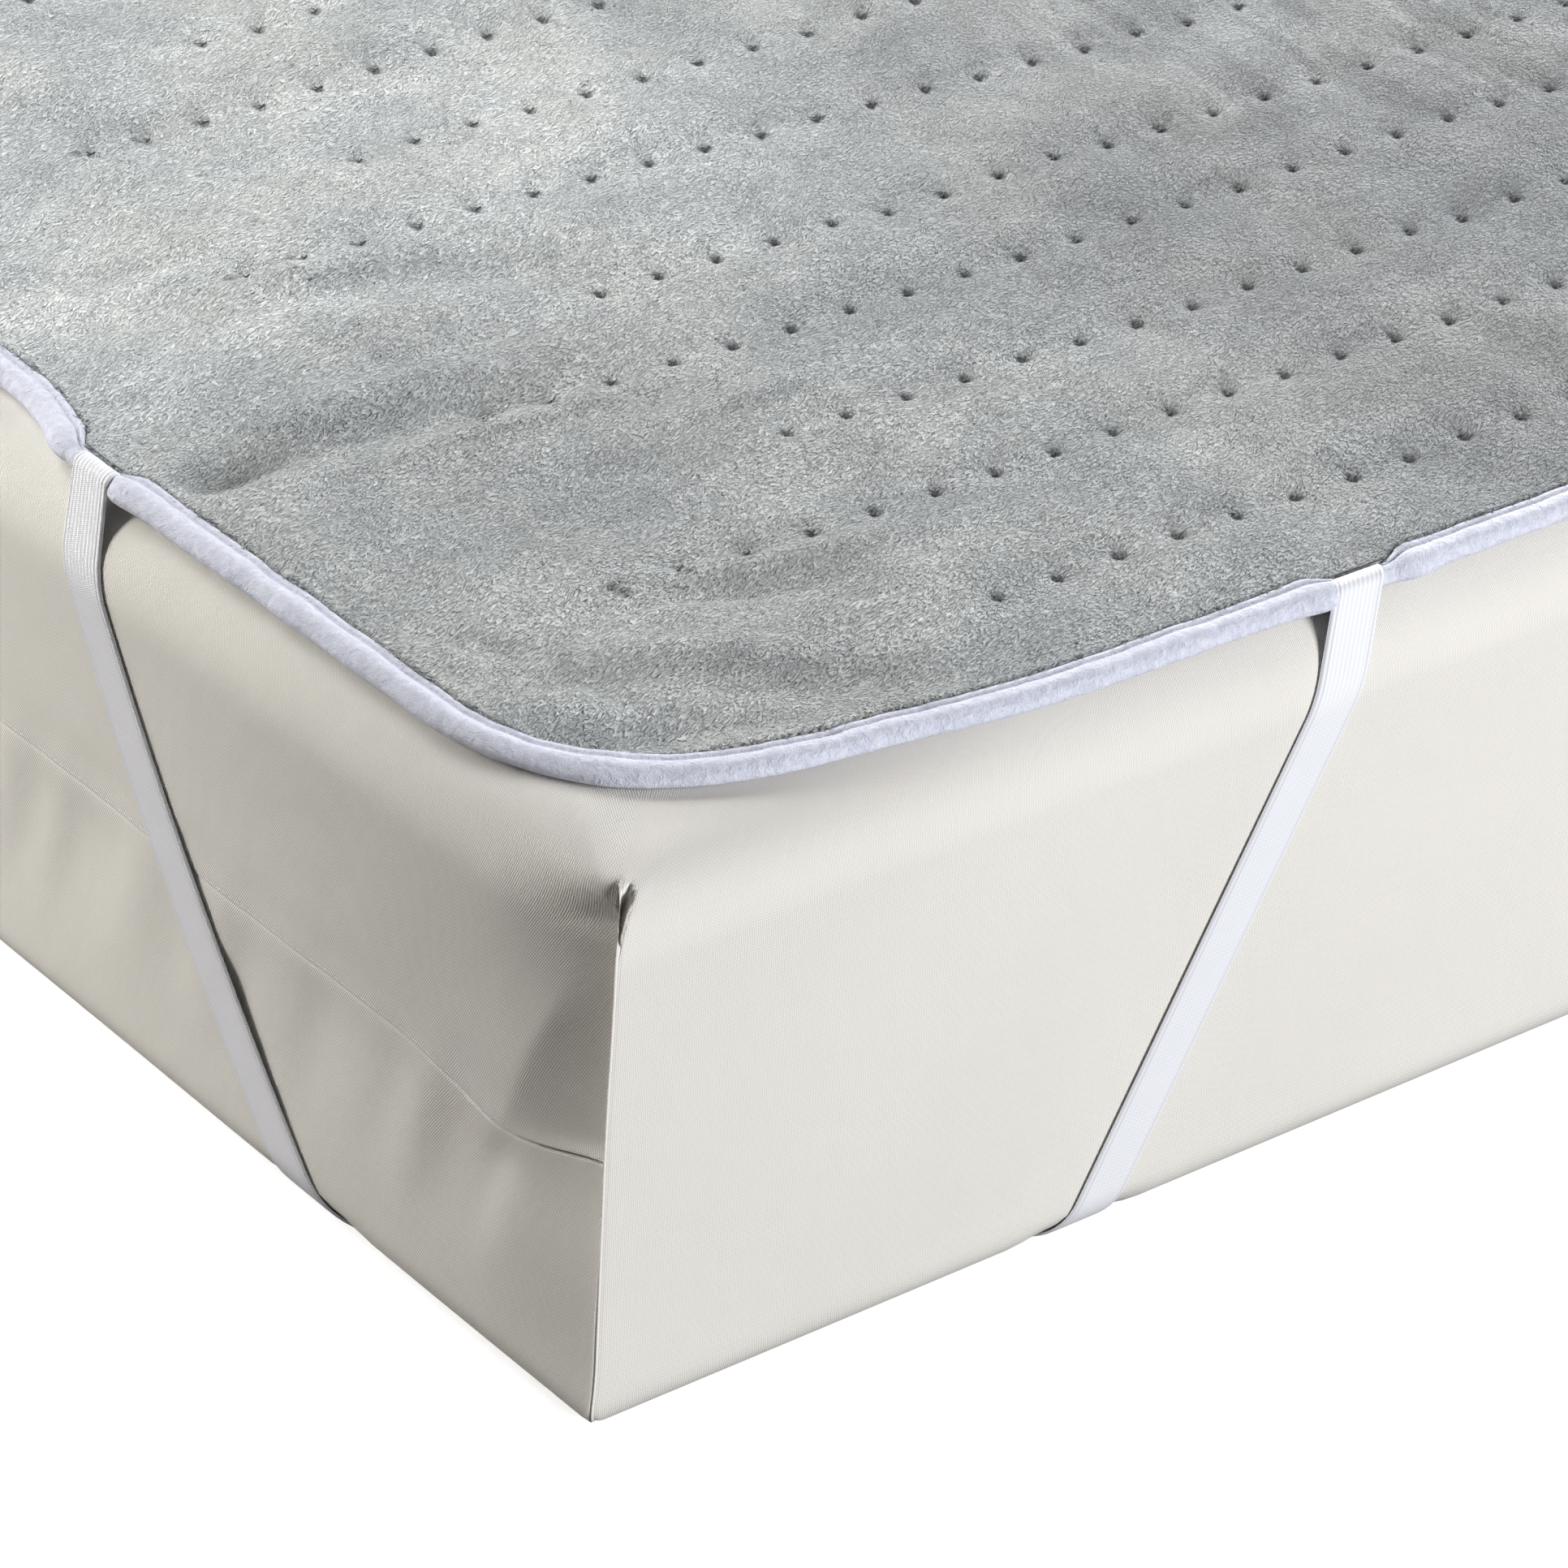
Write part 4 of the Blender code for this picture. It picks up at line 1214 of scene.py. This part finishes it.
# %% Threads, plastic and pins
def thread_finish(name, rough, dark, light):
    thread = Finish(name, {"Roughness": rough, "Sheen Weight": 0.15})
    ply = thread.place().cloud(0.0006)
    thread.feed(Base_Color=ply.blend(dark, light), Normal=ply.bump(0.0002, 0.6))
    return thread


# The dark thread is partly painted shade: of the tacks' pits, and of the seam at each strap's end.
thread_finish("thread darkened by painted shade", 0.75, (0.03, 0.033, 0.034), (0.11, 0.118, 0.12)).wear(
    tack_threads, strap_edge_threads)
thread_finish("pale thread", 0.7, (0.52, 0.53, 0.56), (0.68, 0.69, 0.72)).wear(
    flange_stitches, seam_stitches)

plastic = Finish("inlet plastic", {"Specular IOR Level": 0.45})
grain, handled = plastic.place().cloud(0.0009), plastic.place().cloud(0.02, 3.0)
plastic.feed(Base_Color=handled.blend((0.56, 0.57, 0.6), (0.61, 0.62, 0.645)),
             Roughness=handled.fade(0.3, 0.7, 0.38, 0.5), Normal=grain.bump(0.00012, 0.5))
inlet = bpy.data.objects["controller_inlet"]
inlet.data.materials.clear()
plastic.wear(inlet)

nickel = Finish("nickel plate", {"Metallic": 1.0, "Base Color": (0.72, 0.69, 0.62, 1.0)})
tarnish = nickel.place().cloud(0.002)
nickel.feed(Roughness=tarnish.fade(0.3, 0.7, 0.22, 0.38))
nickel.wear(pins)
print("all pieces have their finish")

# %% [markdown]
# ## Floor, light and camera
#
# The bed stands on a plain white floor. A large soft window stands to the right and in front, so
# that the side panel is bright. A weaker, warmer one far to the left grazes the end panel, which
# shows its hollow and its wrinkles, and a low one behind skims the pile. A fourth fills the far
# end, which the lens never sees. The floor doesn't throw light back, because a white floor that
# did would fill the hollow at the corner. A long lens from above the corner keeps the edges nearly
# parallel.

# %% Floor
FLOOR_HALF, FLOOR_DROP = 14.0, 0.0004
floor_bm = bmesh.new()
bmesh.ops.create_grid(floor_bm, x_segments=8, y_segments=8, size=FLOOR_HALF)
bmesh.ops.translate(floor_bm, verts=floor_bm.verts, vec=(0, 0, -FLOOR_DROP))
floor_mesh = bpy.data.meshes.new("floor")
floor_bm.to_mesh(floor_mesh)
floor_bm.free()
floor = add_object("floor", floor_mesh)
floor.visible_diffuse = floor.visible_glossy = False
paper = Finish("white paper", {"Roughness": 0.9, "Specular IOR Level": 0.1,
                               "Emission Color": (1.0, 1.0, 1.0, 1.0), "Emission Strength": 0.6})
paper.feed(Base_Color=paper.place().cloud(0.5).blend((0.9,) * 3, (0.92,) * 3))
paper.wear(floor)
print(f"floor {2 * FLOOR_HALF:.0f} m square")

# %% Lights
def soft_light(name, target, azimuth, elevation, distance, size, energy, colour, spread=180.0):
    """An area light seen from the target at these angles; azimuth 0 is -Y and -90 is -X."""
    lamp = bpy.data.lights.new(name, "AREA")
    lamp.shape, lamp.size, lamp.energy, lamp.color = "DISK", size, energy, colour
    lamp.spread = math.radians(spread)
    light = add_object(name, lamp)
    a, e = math.radians(azimuth), math.radians(elevation)
    back = Vector((math.sin(a) * math.cos(e), -math.cos(a) * math.cos(e), math.sin(e)))
    light.location = Vector(target) + back * distance
    light.rotation_mode = "QUATERNION"
    light.rotation_quaternion = back.to_track_quat("Z", "Y")


soft_light("right window", (-0.2, -0.4, 0.15), 14, 19, 3.2, 1.6, 144, (0.98, 0.985, 1.0))
soft_light("left window", (-0.95, 0.36, 0.1), -139, 22, 1.5, 1.2, 4.3, (1.0, 0.96, 0.91), 28)
soft_light("back window", (-0.85, 0.1, 0.21), -168, 36, 2.6, 1.5, 5.7, (0.98, 0.99, 1.0), 50)
soft_light("far window", (1.00, 0.25, 0.15), 135, 20, 3.5, 1.6, 26, (1.0, 1.0, 1.0), 30)

world = bpy.data.worlds.new("studio")
bpy.context.scene.world = world
world.use_nodes = True
surround = world.node_tree.nodes["Background"].inputs
surround["Color"].default_value = (1.0, 0.965, 0.91, 1.0)
surround["Strength"].default_value = 0.09
bpy.context.scene.view_settings.view_transform = "Standard"
print("four soft lights and a dim surround")

# %% Camera
lens = bpy.data.cameras.new("camera")
lens.lens, lens.sensor_width, lens.clip_start, lens.clip_end = 154.2, 36.0, 0.05, 60.0
camera = add_object("camera", lens)
azimuth, elevation, roll = (math.radians(a) for a in (-39.81, 30.78, 3.2))
camera.matrix_world = (Matrix.Translation((-1.97409, -1.75445, 1.22752))
                       @ Matrix.Rotation(azimuth, 4, "Z")
                       @ Matrix.Rotation(math.pi / 2 - elevation, 4, "X")
                       @ Matrix.Rotation(roll, 4, "Z"))
bpy.context.scene.camera = camera
print("camera", [round(c, 3) for c in camera.location])
